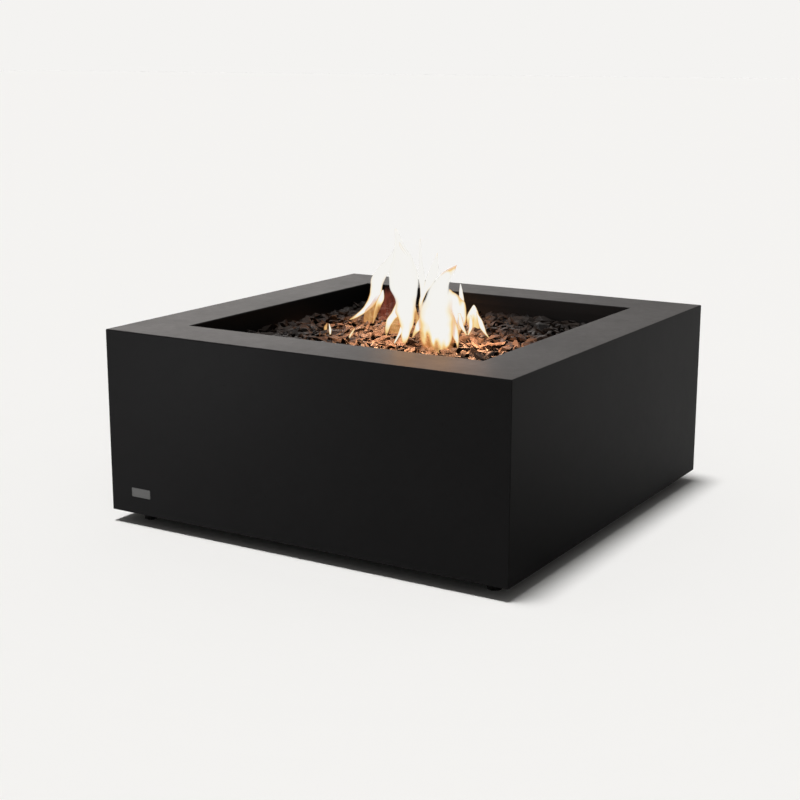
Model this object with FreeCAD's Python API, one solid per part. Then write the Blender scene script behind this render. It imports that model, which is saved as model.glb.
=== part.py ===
"""Square gas fire pit table: cast casing, drop-in burner tray with glass bed, and its gas controls.

Millimetres. The origin is on the ground under the middle of the table. +Z is up, the front face looks
along -Y, and the controls are in the rear wall, at +Y.
"""
import FreeCAD
import Part
import math
import os
import random
from FreeCAD import Vector

# Casing
side = 1016.0
casing_height = 418.0
wall = 16.0
rim_width = 133.0
rim_thickness = 24.0
edge_round = 2.5
seat_depth = 72.0
corner_pad = 98.0
corner_pad_thickness = 34.0
corner_pad_bevel = 42.0

# Nameplate
plate_width = 53.0
plate_height = 20.5
plate_thickness = 1.2
plate_recess = 1.0
plate_gap = 0.2
plate_from_side = 86.0
plate_from_bottom = 49.5

# Feet
foot_height = 28.0
foot_inset = 61.0
foot_top_radius = 17.0
foot_base_radius = 15.0
foot_recess_radius = 9.0
foot_recess_depth = 14.0
foot_screw_radius = 4.0
foot_screw_reach = 20.0
foot_head_flats = 13.0
foot_head_height = 5.5
foot_insert_flats = 12.0
foot_insert_length = 24.0

# Ring under the rim, with the tray's seat
lip_wall = 14.0
seat_thickness = 16.0
seat_reach = 26.0

# Tray that drops into the bowl, and the strip that it rests on
gasket_width = 20.0
gasket_thickness = 3.0
tray_gap = 3.0
tray_steel = 2.0
pan_gap = 4.0
pan_depth = 34.0
pan_corner_round = 8.0
drain_radius = 4.0
drain_place = 290.0

# Glass bed
bed_drop = 42.0
bed_crown = 4.0
bed_gap = 1.0
chip_cells = 34
chip_relief = 9.0
chip_scatter = 0.3
chip_seed = 5
burner_clearance = 8.0
burner_space_sides = 16
pocket_width = 64.0
pocket_height = 52.0

# Burner
burner_radius = 152.0
inner_ring_radius = 86.0
channel_width = 22.0
channel_height = 20.0
channel_bevel = 1.8
channel_wall = 1.5
channel_lift = 6.0
hub_radius = 22.0
hub_flange_radius = 32.0
hub_flange_thickness = 3.0
cross_tube_width = 14.0
cross_tube_height = 11.0
slot_length = 8.0
slot_width = 1.8
outer_slots = 36
inner_slots = 18

# Pipe through the tray
pipe_radius = 10.6
pipe_bore_radius = 7.8
pipe_socket_depth = 10.0
pipe_reach = 26.0
pipe_hole_radius = 11.6
locknut_flats = 32.0
locknut_height = 8.0
thread_gap = 0.05

# Air mixer under the tray
mixer_radius = 17.0
mixer_wall = 3.0
throat_wall = 3.0
mixer_length = 84.0
mixer_socket_depth = 20.0
mixer_base_flats = 40.0
mixer_base_height = 12.0
window_width = 12.0
window_height = 24.0
window_from_base = 5.0
shutter_margin = 4.0
shutter_wall = 2.5
running_gap = 0.05
end_gap = 0.3
thumb_screw_radius = 2.0
thumb_head_radius = 5.0
thumb_head_height = 6.0
thumb_head_sides = 12
thumb_screw_stand = 4.5
thumb_screw_gap = 0.15

# Flare fittings and their nuts
flare_radius = 7.94
flare_length = 16.0
flare_tip_length = 4.0
flare_tip_radius = 5.5
fitting_flats = 22.0
fitting_hex_height = 10.0
fitting_bore_radius = 3.5
jet_radius = 0.9
jet_stub_radius = 8.0
flare_nut_flats = 24.0
flare_nut_length = 20.0
flare_nut_overlap = 16.0

# Hose and leads
hose_radius = 6.0
ignition_lead_radius = 2.5
thermocouple_lead_radius = 1.5
cord_sides = 8
arc_share = 0.45

# Heat shield
shield_side = 520.0
shield_steel = 1.2
shield_flange = 10.0
shield_hole_radius = 27.0
shield_slot_width = 64.0
shield_slot_depth = 34.0
spacer_length = 40.0
spacer_flats = 11.0
spacer_inset = 30.0
spacer_screw_radius = 3.0
spacer_head_flats = 10.0
spacer_head_height = 4.0
spacer_screw_length = 16.0

# Pilot bracket with the spark electrode and the flame sensor
bracket_from_burner = 8.0
bracket_width = 60.0
bracket_depth = 26.0
bracket_height = 26.0
bracket_steel = 1.5
shelf_width = 44.0
probe_spacing = 24.0
probe_from_upright = 13.0
insulator_radius = 4.5
insulator_length = 30.0
insulator_lift = 5.0
electrode_radius = 1.2
electrode_rise = 8.0
electrode_reach = 17.0
sensor_radius = 3.0
sensor_length = 40.0
grommet_radius = 6.0
grommet_flange_radius = 8.5
grommet_flange_height = 2.0
grommet_gap = 0.4

# Control box let into the rear wall
opening_width = 240.0
opening_height = 140.0
opening_corner = 8.0
opening_from_bottom = 187.0
control_depth = 41.0
control_steel = 1.5
control_flange = 20.0
control_screw_radius = 2.5
control_screw_length = 10.5
control_screw_flats = 8.0
control_screw_head = 4.0
control_screw_spacing = 105.0
control_insert_flats = 8.0
control_insert_length = 11.0

# Gas valve behind the control plate
valve_width = 40.0
valve_height = 46.0
valve_length = 46.0
valve_bevel = 6.0
valve_port_from_plate = 26.0
valve_passage_radius = 3.5
plug_radius = 9.0
plug_length = 28.0
gland_radius = 12.0
gland_length = 7.0
valve_chamber_radius = 6.0
chamber_end_gap = 1.5
spindle_radius = 4.0
spindle_tail = 3.0
spindle_hole_radius = 7.8
valve_screw_radius = 2.0
valve_screw_place = 18.0
valve_screw_flats = 6.5
valve_screw_length = 12.0
magnet_radius = 9.0
magnet_length = 24.0
magnet_nut_flats = 12.0
magnet_nut_length = 8.0

# Knob and its legend plate
legend_width = 76.0
legend_height = 72.0
legend_thickness = 1.2
legend_corner = 6.0
knob_radius = 24.0
knob_bevel = 1.5
knob_skirt = 9.0
knob_grip_width = 12.0
knob_grip_length = 41.0
knob_grip_height = 17.0
knob_grip_bevel = 2.5
knob_travel = 3.5
knob_rest_gap = 1.0
spindle_socket_depth = 15.0
spring_radius = 6.8
spring_wire = 1.2
spring_pocket_gap = 0.6
spring_pocket_depth = 6.0
grub_screw_radius = 2.0

# Piezo igniter
igniter_x = 78.0
igniter_above_knob = 30.0
igniter_radius = 9.0
igniter_length = 54.0
igniter_flange_radius = 12.5
igniter_flange_height = 3.0
igniter_nut_flats = 24.0
igniter_nut_height = 5.0
button_radius = 6.5
button_stand = 11.0
button_travel = 7.0
button_length = 28.0
button_bevel = 1.0
igniter_spring_closed = 6.0
igniter_terminal_length = 8.0

# Gas inlet
inlet_x = -78.0
inlet_hex_height = 6.0
inlet_stub_radius = 8.5
inlet_stub_length = 24.0
inlet_nut_flats = 26.0
inlet_nut_height = 6.0
elbow_flats = 22.0
elbow_socket_sides = 8
elbow_socket_depth = 10.0
elbow_spigot_radius = 6.5
elbow_spigot_length = 8.0

# Levels and places that follow from the sizes above
half = side / 2
casing_bottom = foot_height
rim_top = casing_bottom + casing_height
rim_bottom = rim_top - rim_thickness
bowl = side - 2 * rim_width
seat_top = rim_top - seat_depth
lip_bottom = seat_top - seat_thickness
seat_opening = bowl - 2 * seat_reach
tray_side = bowl - 2 * tray_gap
flange_bottom = seat_top + gasket_thickness
flange_top = flange_bottom + tray_steel
pan_side = seat_opening - 2 * pan_gap
pan_bottom = flange_bottom - pan_depth
pan_floor = pan_bottom + tray_steel
channel_bottom = pan_floor + channel_lift
channel_top = channel_bottom + channel_height
channel_middle = (channel_bottom + channel_top) / 2
hub_socket_top = pan_floor + pipe_socket_depth
pipe_bottom = pan_bottom - locknut_height - pipe_reach
mixer_top = pipe_bottom + mixer_socket_depth
mixer_bottom = mixer_top - mixer_length
mixer_base_top = mixer_bottom + mixer_base_height
window_bottom = mixer_base_top + window_from_base
shutter_bottom = mixer_base_top + end_gap
shutter_top = window_bottom + window_height + shutter_margin
jet_hex_bottom = mixer_bottom - fitting_hex_height
jet_end = jet_hex_bottom - flare_length - flare_tip_length
shield_top = pan_bottom - spacer_length
shield_bottom = shield_top - shield_steel
spacer_place = shield_side / 2 - spacer_inset
bracket_front = burner_radius + bracket_from_burner
bracket_rear = bracket_front + bracket_depth
shelf_top = pan_floor + bracket_height
probe_y = bracket_rear - probe_from_upright
probe_x = probe_spacing / 2
insulator_bottom = pan_floor + insulator_lift
inner_wall = half - wall
plate_front = inner_wall - control_depth
plate_rear = plate_front - control_steel
control_z = casing_bottom + opening_from_bottom
valve_rear = plate_rear - valve_length
valve_port_y = plate_rear - valve_port_from_plate
valve_port_end = valve_width / 2 + fitting_hex_height + flare_length + flare_tip_length
gland_rear = plate_rear - gland_length
plug_front = gland_rear - end_gap
plug_rear = plug_front - plug_length
chamber_length = spindle_tail + knob_travel + chamber_end_gap
magnet_rear = valve_rear - magnet_length
magnet_nut_rear = magnet_rear - magnet_nut_length
legend_front = plate_front + legend_thickness
knob_back = legend_front + knob_travel + knob_rest_gap
knob_skirt_front = knob_back + knob_skirt
spindle_front = knob_back + spindle_socket_depth
igniter_z = control_z + igniter_above_knob
igniter_front = plate_front + igniter_flange_height
igniter_rear = igniter_front - igniter_length
button_front = igniter_front + button_stand
button_rear = button_front - button_length
igniter_spring_rear = button_rear - button_travel - igniter_spring_closed
inlet_front = plate_front + inlet_hex_height + flare_length + flare_tip_length
elbow_front = plate_front - inlet_stub_length + elbow_socket_depth

X = Vector(1, 0, 0)
Y = Vector(0, 1, 0)
Z = Vector(0, 0, 1)


def block(x0, x1, y0, y1, z0, z1):
    return Part.makeBox(x1 - x0, y1 - y0, z1 - z0, Vector(x0, y0, z0))


def square(width, z0, z1):
    return block(-width / 2, width / 2, -width / 2, width / 2, z0, z1)


def rod(radius, start, direction, length):
    return Part.makeCylinder(radius, length, start, direction)


def taper(radius, end_radius, start, direction, length):
    return Part.makeCone(radius, end_radius, length, start, direction)


def prism(sides, flats, start, direction, length):
    """A regular prism, given by the distance across its flats."""
    radius = flats / 2 / math.cos(math.pi / sides)
    corners = []
    for k in range(sides + 1):
        angle = 2 * math.pi * (k + 0.5) / sides
        corners.append(Vector(radius * math.cos(angle), radius * math.sin(angle), 0))
    solid = Part.Face(Part.makePolygon(corners)).extrude(Z * length)
    solid.Placement = FreeCAD.Placement(start, FreeCAD.Rotation(Z, direction))
    return solid


def hexagon(flats, start, direction, length):
    return prism(6, flats, start, direction, length)


def turned(shape, angle):
    copy = shape.copy()
    copy.rotate(Vector(0, 0, 0), Z, angle)
    return copy


def group(solids):
    return Part.makeCompound(solids)


def joined(first, others):
    return first.multiFuse(others).removeSplitter()


def rounded(shape, radius, test):
    """Round the edges whose middle point passes the test."""
    edges = [e for e in shape.Edges if test(e, e.valueAt((e.FirstParameter + e.LastParameter) / 2))]
    return shape.makeFillet(radius, edges)


def runs_along(edge, direction):
    ends = [v.Point for v in edge.Vertexes]
    return len(ends) == 2 and (ends[1] - ends[0]).cross(direction).Length < 1e-6


def near(value, wanted):
    return abs(value - wanted) < 1e-3


def upright(edge, middle):
    return runs_along(edge, Z)


def front_to_back(edge, middle):
    return runs_along(edge, Y)


def at_mouth(edge, middle):
    """Whether an edge is one of the four round the top of the bowl."""
    return near(middle.z, rim_top) and near(max(abs(middle.x), abs(middle.y)), bowl / 2)


def corner_places(place):
    return [(x * place, y * place) for x in (-1, 1) for y in (-1, 1)]


# Casing
def casing():
    top_edge = rim_top - 1e-3
    body = square(side, casing_bottom, rim_top)
    body = rounded(body, edge_round, lambda e, m: m.z > top_edge or runs_along(e, Z))
    body = body.cut(square(side - 2 * wall, casing_bottom, rim_bottom))
    body = joined(body, [corner_support(k) for k in range(4)])
    body = rounded(body.cut(square(bowl, rim_bottom, rim_top)), edge_round, at_mouth)
    cuts = [control_opening(), nameplate_recess()]
    for x, y in corner_places(half - foot_inset):
        cuts.append(hexagon(foot_insert_flats, Vector(x, y, casing_bottom), Z, foot_insert_length))
    for x, z in control_screw_places():
        cuts.append(hexagon(control_insert_flats, Vector(x, inner_wall, z), Y, control_insert_length))
    return body.cut(group(cuts))


def corner_support(quarter):
    """The pad cast into a lower corner, which takes a foot's screw."""
    near_edge = half - corner_pad
    far_edge = half - wall / 2
    corners = [
        Vector(near_edge + corner_pad_bevel, near_edge, casing_bottom),
        Vector(far_edge, near_edge, casing_bottom),
        Vector(far_edge, far_edge, casing_bottom),
        Vector(near_edge, far_edge, casing_bottom),
        Vector(near_edge, near_edge + corner_pad_bevel, casing_bottom),
    ]
    outline = Part.makePolygon(corners + corners[:1])
    return turned(Part.Face(outline).extrude(Z * corner_pad_thickness), 90 * quarter)


def control_opening():
    hole = block(
        -opening_width / 2,
        opening_width / 2,
        inner_wall - wall,
        half + wall,
        control_z - opening_height / 2,
        control_z + opening_height / 2,
    )
    return rounded(hole, opening_corner, front_to_back)


def nameplate_box(front, back, gap):
    x = -half + plate_from_side
    z = casing_bottom + plate_from_bottom
    reach_x = plate_width / 2 + gap
    reach_z = plate_height / 2 + gap
    return block(x - reach_x, x + reach_x, front, back, z - reach_z, z + reach_z)


def nameplate_recess():
    return nameplate_box(-half - plate_recess, -half + plate_recess, plate_gap)


def nameplate():
    back = -half + plate_recess
    return nameplate_box(back - plate_thickness, back, 0)


# Feet
def bumper_feet():
    feet = []
    for x, y in corner_places(half - foot_inset):
        body = taper(foot_base_radius, foot_top_radius, Vector(x, y, 0), Z, foot_height)
        recess = rod(foot_recess_radius, Vector(x, y, 0), Z, foot_recess_depth)
        hole = rod(foot_screw_radius + thread_gap, Vector(x, y, 0), Z, foot_height)
        feet.append(body.cut(recess).cut(hole))
    return group(feet)


def foot_screws():
    screws = []
    for x, y in corner_places(half - foot_inset):
        head_bottom = Vector(x, y, foot_recess_depth - foot_head_height)
        head = hexagon(foot_head_flats, head_bottom, Z, foot_head_height)
        length = foot_height - foot_recess_depth + foot_screw_reach
        shank = rod(foot_screw_radius, Vector(x, y, foot_recess_depth), Z, length)
        screws.append(head.fuse(shank))
    return group(screws)


def foot_inserts():
    inserts = []
    for x, y in corner_places(half - foot_inset):
        start = Vector(x, y, casing_bottom)
        sleeve = hexagon(foot_insert_flats, start, Z, foot_insert_length)
        inserts.append(sleeve.cut(rod(foot_screw_radius + thread_gap, start, Z, foot_insert_length)))
    return group(inserts)


# Fire bowl
def bowl_ring():
    """The cast ring bonded under the rim: the lower part of the bowl's walls and the tray's seat."""
    ring = square(bowl + 2 * lip_wall, lip_bottom, rim_bottom)
    ring = ring.cut(square(bowl, seat_top, rim_bottom))
    return ring.cut(square(seat_opening, lip_bottom, seat_top))


def tray_gasket():
    ring = square(tray_side, seat_top, flange_bottom)
    return ring.cut(square(tray_side - 2 * gasket_width, seat_top, flange_bottom))


def burner_tray():
    flange = square(tray_side, flange_bottom, flange_top)
    pan = rounded(square(pan_side, pan_bottom, flange_bottom), pan_corner_round, upright)
    inside = square(pan_side - 2 * tray_steel, pan_floor, flange_top)
    hollow = rounded(inside, pan_corner_round - tray_steel, upright)
    holes = [rod(pipe_hole_radius, Vector(0, 0, pan_bottom), Z, tray_steel)]
    for x, y in corner_places(drain_place):
        holes.append(rod(drain_radius, Vector(x, y, pan_bottom), Z, tray_steel))
    for x in (-probe_x, probe_x):
        holes.append(rod(grommet_radius, Vector(x, probe_y, pan_bottom), Z, tray_steel))
    return joined(flange, [pan]).cut(hollow).cut(group(holes))


def glass_media():
    fill = square(pan_side - 2 * tray_steel - 2 * bed_gap, pan_floor, flange_top)
    fill = rounded(fill, pan_corner_round - tray_steel, upright)
    bed = fill.fuse(chip_layer(bowl - 2 * bed_gap, flange_top, rim_top - bed_drop))
    burner_space = prism(
        burner_space_sides,
        2 * (burner_radius + burner_clearance),
        Vector(0, 0, pan_floor),
        Z,
        channel_top - pan_floor + burner_clearance / 2,
    )
    pilot_space = block(
        -pocket_width / 2,
        pocket_width / 2,
        burner_radius / 2,
        bracket_rear + burner_clearance,
        pan_floor,
        pan_floor + pocket_height,
    )
    return bed.cut(burner_space.fuse(pilot_space))


def chip_layer(width, bottom, edge_top):
    """The upper glass: a rugged top of broken faces, a little higher in the middle, over a flat base."""
    top = chip_points(width, edge_top)
    cells = range(chip_cells)
    last = chip_cells
    faces = []
    for row in cells:
        for column in cells:
            near_left = top[row, column]
            near_right = top[row, column + 1]
            far_left = top[row + 1, column]
            far_right = top[row + 1, column + 1]
            if (row + column) % 2:
                faces.append(facet(near_left, near_right, far_right))
                faces.append(facet(near_left, far_right, far_left))
            else:
                faces.append(facet(near_left, near_right, far_left))
                faces.append(facet(near_right, far_right, far_left))
    rim = [top[0, k] for k in cells] + [top[k, last] for k in cells]
    rim += [top[last, last - k] for k in cells] + [top[last - k, 0] for k in cells]
    base = [Vector(point.x, point.y, bottom) for point in rim]
    for k in range(len(rim)):
        faces.append(facet(rim[k - 1], base[k - 1], base[k], rim[k]))
    faces.append(facet(*base))
    shell = Part.makeShell(faces)
    shell.sewShape()
    return Part.makeSolid(shell)


def chip_points(width, edge_top):
    """Where the broken faces meet, by row and column."""
    draw = random.Random(chip_seed)
    step = width / chip_cells
    points = {}
    for row in range(chip_cells + 1):
        for column in range(chip_cells + 1):
            x = column * step - width / 2
            y = row * step - width / 2
            crown = bed_crown * (1 - 2 * max(abs(x), abs(y)) / width)
            z = edge_top + crown - draw.uniform(0, chip_relief)
            if 0 < row < chip_cells and 0 < column < chip_cells:
                x += step * draw.uniform(-chip_scatter, chip_scatter)
                y += step * draw.uniform(-chip_scatter, chip_scatter)
            points[row, column] = Vector(x, y, z)
    return points


def facet(*corners):
    return Part.Face(Part.makePolygon([*corners, corners[0]]))


# Burner
def channel(outer_radius, width, bottom, top, bevel):
    """A ring channel, turned from its section, with the two upper edges bevelled."""
    inner_radius = outer_radius - width
    corners = [
        Vector(inner_radius, 0, bottom),
        Vector(outer_radius, 0, bottom),
        Vector(outer_radius, 0, top - bevel),
        Vector(outer_radius - bevel, 0, top),
        Vector(inner_radius + bevel, 0, top),
        Vector(inner_radius, 0, top - bevel),
    ]
    return Part.Face(Part.makePolygon(corners + corners[:1])).revolve(Vector(0, 0, 0), Z, 360)


def cross_tube(width, height, angle, reach):
    tube = block(0, reach, -width / 2, width / 2, channel_middle - height / 2, channel_middle + height / 2)
    return turned(tube, angle)


def ring_slots(outer_radius, count):
    middle = outer_radius - channel_width / 2
    slot = block(
        middle - slot_length / 2,
        middle + slot_length / 2,
        -slot_width / 2,
        slot_width / 2,
        channel_top - 2 * channel_wall,
        channel_top + channel_wall,
    )
    return [turned(slot, 360 * (k + 0.5) / count) for k in range(count)]


def ring_burner():
    """Two ring channels on a hub, joined by cross tubes: hollow, with a slot for each flame."""
    radii = (burner_radius, inner_ring_radius)
    diagonals = [45 + 90 * k for k in range(4)]
    tube_reach = burner_radius - channel_width / 2
    shell = [rod(hub_flange_radius, Vector(0, 0, pan_floor), Z, hub_flange_thickness)]
    for radius in radii:
        shell.append(channel(radius, channel_width, channel_bottom, channel_top, channel_bevel))
    for angle in diagonals:
        shell.append(cross_tube(cross_tube_width, cross_tube_height, angle, tube_reach))
    hub = rod(hub_radius, Vector(0, 0, pan_floor), Z, channel_top - pan_floor)
    skin = joined(hub, shell)
    gas = []
    for radius in radii:
        outer = radius - channel_wall
        inner = radius - channel_width + channel_wall
        start = Vector(0, 0, channel_bottom + channel_wall)
        height = channel_height - 2 * channel_wall
        gas.append(rod(outer, start, Z, height).cut(rod(inner, start, Z, height)))
    bore_width = cross_tube_width - 2 * channel_wall
    bore_height = cross_tube_height - 2 * channel_wall
    gas += [cross_tube(bore_width, bore_height, angle, tube_reach) for angle in diagonals]
    chamber_height = channel_top - 2 * channel_wall - hub_socket_top
    gas.append(rod(pipe_bore_radius, Vector(0, 0, hub_socket_top), Z, chamber_height))
    gas.append(rod(pipe_radius + thread_gap, Vector(0, 0, pan_floor), Z, pipe_socket_depth))
    burner = skin.cut(gas[0].multiFuse(gas[1:]))
    slots = ring_slots(burner_radius, outer_slots) + ring_slots(inner_ring_radius, inner_slots)
    return burner.cut(group(slots))


def burner_nipple():
    length = hub_socket_top - pipe_bottom
    pipe = rod(pipe_radius, Vector(0, 0, pipe_bottom), Z, length)
    return pipe.cut(rod(pipe_bore_radius, Vector(0, 0, pipe_bottom), Z, length))


def tray_locknut():
    start = Vector(0, 0, pan_bottom - locknut_height)
    nut = hexagon(locknut_flats, start, Z, locknut_height)
    return nut.cut(rod(pipe_radius + thread_gap, start, Z, locknut_height))


# Pilot bracket
def pilot_bracket():
    """A folded steel bracket, spot welded to the pan, that holds the spark rod and the flame sensor."""
    reach = bracket_width / 2
    shelf_reach = shelf_width / 2
    shelf_bottom = shelf_top - bracket_steel
    base = block(-reach, reach, bracket_front, bracket_rear, pan_floor, pan_floor + bracket_steel)
    back = block(-reach, reach, bracket_rear - bracket_steel, bracket_rear, pan_floor, shelf_top)
    shelf = block(-shelf_reach, shelf_reach, bracket_front, bracket_rear, shelf_bottom, shelf_top)
    holes = []
    for x, radius in ((probe_x, insulator_radius), (-probe_x, sensor_radius)):
        holes.append(rod(radius + thread_gap, Vector(x, probe_y, shelf_bottom), Z, bracket_steel))
        bush_hole = grommet_flange_radius + grommet_gap
        holes.append(rod(bush_hole, Vector(x, probe_y, pan_floor), Z, bracket_steel))
    return joined(base, [back, shelf]).cut(group(holes))


def electrode_insulator():
    start = Vector(probe_x, probe_y, insulator_bottom)
    body = rod(insulator_radius, start, Z, insulator_length)
    return body.cut(rod(electrode_radius, start, Z, insulator_length))


def electrode_rod():
    """The spark rod: straight up out of its insulator, then bent over towards the outer ring."""
    height = insulator_length + electrode_rise
    start = Vector(probe_x, probe_y, insulator_bottom)
    bend = start + Z * height
    stem = rod(electrode_radius, start, Z, height)
    knee = Part.makeSphere(electrode_radius, bend)
    arm = rod(electrode_radius, bend, Y * -1, electrode_reach)
    return joined(stem, [knee, arm])


def thermocouple_probe():
    start = Vector(-probe_x, probe_y, insulator_bottom)
    stem_length = sensor_length - sensor_radius
    body = rod(sensor_radius, start, Z, stem_length)
    tip = taper(sensor_radius, sensor_radius / 2, start + Z * stem_length, Z, sensor_radius)
    return body.fuse(tip).removeSplitter()


def lead_grommets():
    bushes = []
    for x, lead in ((-probe_x, thermocouple_lead_radius), (probe_x, ignition_lead_radius)):
        body = rod(grommet_radius - thread_gap, Vector(x, probe_y, pan_bottom), Z, tray_steel)
        upper = rod(grommet_flange_radius, Vector(x, probe_y, pan_floor), Z, grommet_flange_height)
        bore = rod(lead + grommet_gap, Vector(x, probe_y, pan_bottom), Z, tray_steel + grommet_flange_height)
        bushes.append(joined(body, [upper]).cut(bore))
    return group(bushes)


# Air mixer
def window_cuts(radius):
    reach = window_width / 2
    cut = block(0, radius, -reach, reach, window_bottom, window_bottom + window_height)
    return [turned(cut, 90 * k) for k in range(4)]


def air_mixer():
    base = hexagon(mixer_base_flats, Vector(0, 0, mixer_bottom), Z, mixer_base_height)
    tube = rod(mixer_radius, Vector(0, 0, mixer_bottom), Z, mixer_length)
    body = joined(base, [tube])
    throat_top = pipe_bottom - throat_wall
    inside = [
        rod(mixer_radius - mixer_wall, Vector(0, 0, mixer_base_top), Z, throat_top - mixer_base_top),
        rod(pipe_bore_radius, Vector(0, 0, mixer_bottom), Z, mixer_length),
        rod(pipe_radius + thread_gap, Vector(0, 0, pipe_bottom), Z, mixer_socket_depth),
        rod(jet_stub_radius + thread_gap, Vector(0, 0, mixer_bottom), Z, mixer_base_height),
    ]
    body = body.cut(inside[0].multiFuse(inside[1:]))
    return body.cut(group(window_cuts(2 * mixer_radius)))


def air_shutter():
    start = Vector(0, 0, shutter_bottom)
    height = shutter_top - shutter_bottom
    inner = mixer_radius + running_gap
    sleeve = rod(inner + shutter_wall, start, Z, height).cut(rod(inner, start, Z, height))
    reach = inner + 2 * shutter_wall
    cuts = window_cuts(reach)
    cuts.append(rod(thumb_screw_radius + thread_gap, thumb_place(0), thumb_direction(), reach))
    return sleeve.cut(group(cuts))


def thumb_direction():
    return Vector(math.cos(math.pi / 4), math.sin(math.pi / 4), 0)


def thumb_place(distance):
    return thumb_direction() * distance + Z * (window_bottom + window_height / 2)


def shutter_screw():
    tip = mixer_radius + thumb_screw_gap
    head_start = mixer_radius + running_gap + shutter_wall + thumb_screw_stand
    shank = rod(thumb_screw_radius, thumb_place(tip), thumb_direction(), head_start - tip)
    head_width = 2 * thumb_head_radius
    head = prism(thumb_head_sides, head_width, thumb_place(head_start), thumb_direction(), thumb_head_height)
    return shank.fuse(head)


def flare_thread(start, direction):
    """A threaded male end with a plain nose, as turned on the fittings that a nut covers."""
    thread = rod(flare_radius, start, direction, flare_length)
    nose = rod(flare_tip_radius, start + direction * flare_length, direction, flare_tip_length)
    return [thread, nose]


def flare_nut(end, direction):
    """A nut round a flare end: end is the flare's tip, and direction points away from the fitting."""
    start = end - direction * flare_nut_overlap
    nut = hexagon(flare_nut_flats, start, direction, flare_nut_length)
    return nut.cut(rod(flare_radius + thread_gap, start, direction, flare_nut_length))


def jet_holder():
    stub = rod(jet_stub_radius, Vector(0, 0, mixer_bottom), Z, mixer_base_height)
    hexagon_part = hexagon(fitting_flats, Vector(0, 0, jet_hex_bottom), Z, fitting_hex_height)
    body = joined(stub, [hexagon_part] + flare_thread(Vector(0, 0, jet_hex_bottom), Z * -1))
    bore = rod(fitting_bore_radius, Vector(0, 0, jet_end), Z, mixer_bottom - jet_end)
    jet = rod(jet_radius, Vector(0, 0, mixer_bottom), Z, mixer_base_height)
    return body.cut(bore.fuse(jet))


# Heat shield
def heat_shield():
    plate = square(shield_side, shield_bottom, shield_top)
    skirt = square(shield_side, shield_top - shield_flange, shield_bottom)
    skirt = skirt.cut(square(shield_side - 2 * shield_steel, shield_top - shield_flange, shield_bottom))
    slot_reach = shield_slot_width / 2
    slot = block(
        -slot_reach,
        slot_reach,
        probe_y - shield_slot_depth / 2,
        probe_y + shield_slot_depth / 2,
        shield_bottom,
        shield_top,
    )
    holes = [rod(shield_hole_radius, Vector(0, 0, shield_bottom), Z, shield_steel), slot]
    for x, y in corner_places(spacer_place):
        holes.append(rod(spacer_screw_radius + thread_gap, Vector(x, y, shield_bottom), Z, shield_steel))
    return joined(plate, [skirt]).cut(group(holes))


def shield_spacers():
    spacers = []
    for x, y in corner_places(spacer_place):
        start = Vector(x, y, shield_top)
        body = hexagon(spacer_flats, start, Z, spacer_length)
        spacers.append(body.cut(rod(spacer_screw_radius + thread_gap, start, Z, spacer_screw_length)))
    return group(spacers)


def shield_screws():
    screws = []
    for x, y in corner_places(spacer_place):
        head = hexagon(spacer_head_flats, Vector(x, y, shield_bottom), Z * -1, spacer_head_height)
        shank = rod(spacer_screw_radius, Vector(x, y, shield_bottom), Z, spacer_screw_length)
        screws.append(head.fuse(shank))
    return group(screws)


# Control box
def control_screw_places():
    reach = opening_height / 2 + control_flange / 2
    places = []
    for z in (control_z - reach, control_z + reach):
        for x in (-control_screw_spacing, control_screw_spacing):
            places.append((x, z))
    return places


def control_shell(grow, front, back):
    """The box's outline, grown by a margin, between two depths."""
    shell = block(
        -opening_width / 2 - grow,
        opening_width / 2 + grow,
        front,
        back,
        control_z - opening_height / 2 - grow,
        control_z + opening_height / 2 + grow,
    )
    return rounded(shell, opening_corner + min(grow, control_steel), front_to_back)


def control_box():
    box = control_shell(control_steel, plate_rear, inner_wall)
    flange = control_shell(control_flange, inner_wall - control_steel, inner_wall)
    body = joined(box, [flange]).cut(control_shell(0, plate_front, inner_wall))
    holes = [
        rod(spindle_hole_radius, Vector(0, plate_rear, control_z), Y, control_steel),
        rod(igniter_radius + thread_gap, Vector(igniter_x, plate_rear, igniter_z), Y, control_steel),
        rod(inlet_stub_radius + thread_gap, Vector(inlet_x, plate_rear, control_z), Y, control_steel),
    ]
    for z in (-valve_screw_place, valve_screw_place):
        start = Vector(0, plate_rear, control_z + z)
        holes.append(rod(valve_screw_radius + thread_gap, start, Y, control_steel))
    for x, z in control_screw_places():
        start = Vector(x, inner_wall - control_steel, z)
        holes.append(rod(control_screw_radius + thread_gap, start, Y, control_steel))
    return body.cut(group(holes))


def control_box_screws():
    screws = []
    for x, z in control_screw_places():
        start = Vector(x, inner_wall - control_steel, z)
        head = hexagon(control_screw_flats, start, Y * -1, control_screw_head)
        screws.append(head.fuse(rod(control_screw_radius, start, Y, control_screw_length)))
    return group(screws)


def control_box_inserts():
    inserts = []
    for x, z in control_screw_places():
        start = Vector(x, inner_wall, z)
        sleeve = hexagon(control_insert_flats, start, Y, control_insert_length)
        inserts.append(sleeve.cut(rod(control_screw_radius + thread_gap, start, Y, control_insert_length)))
    return group(inserts)


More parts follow.
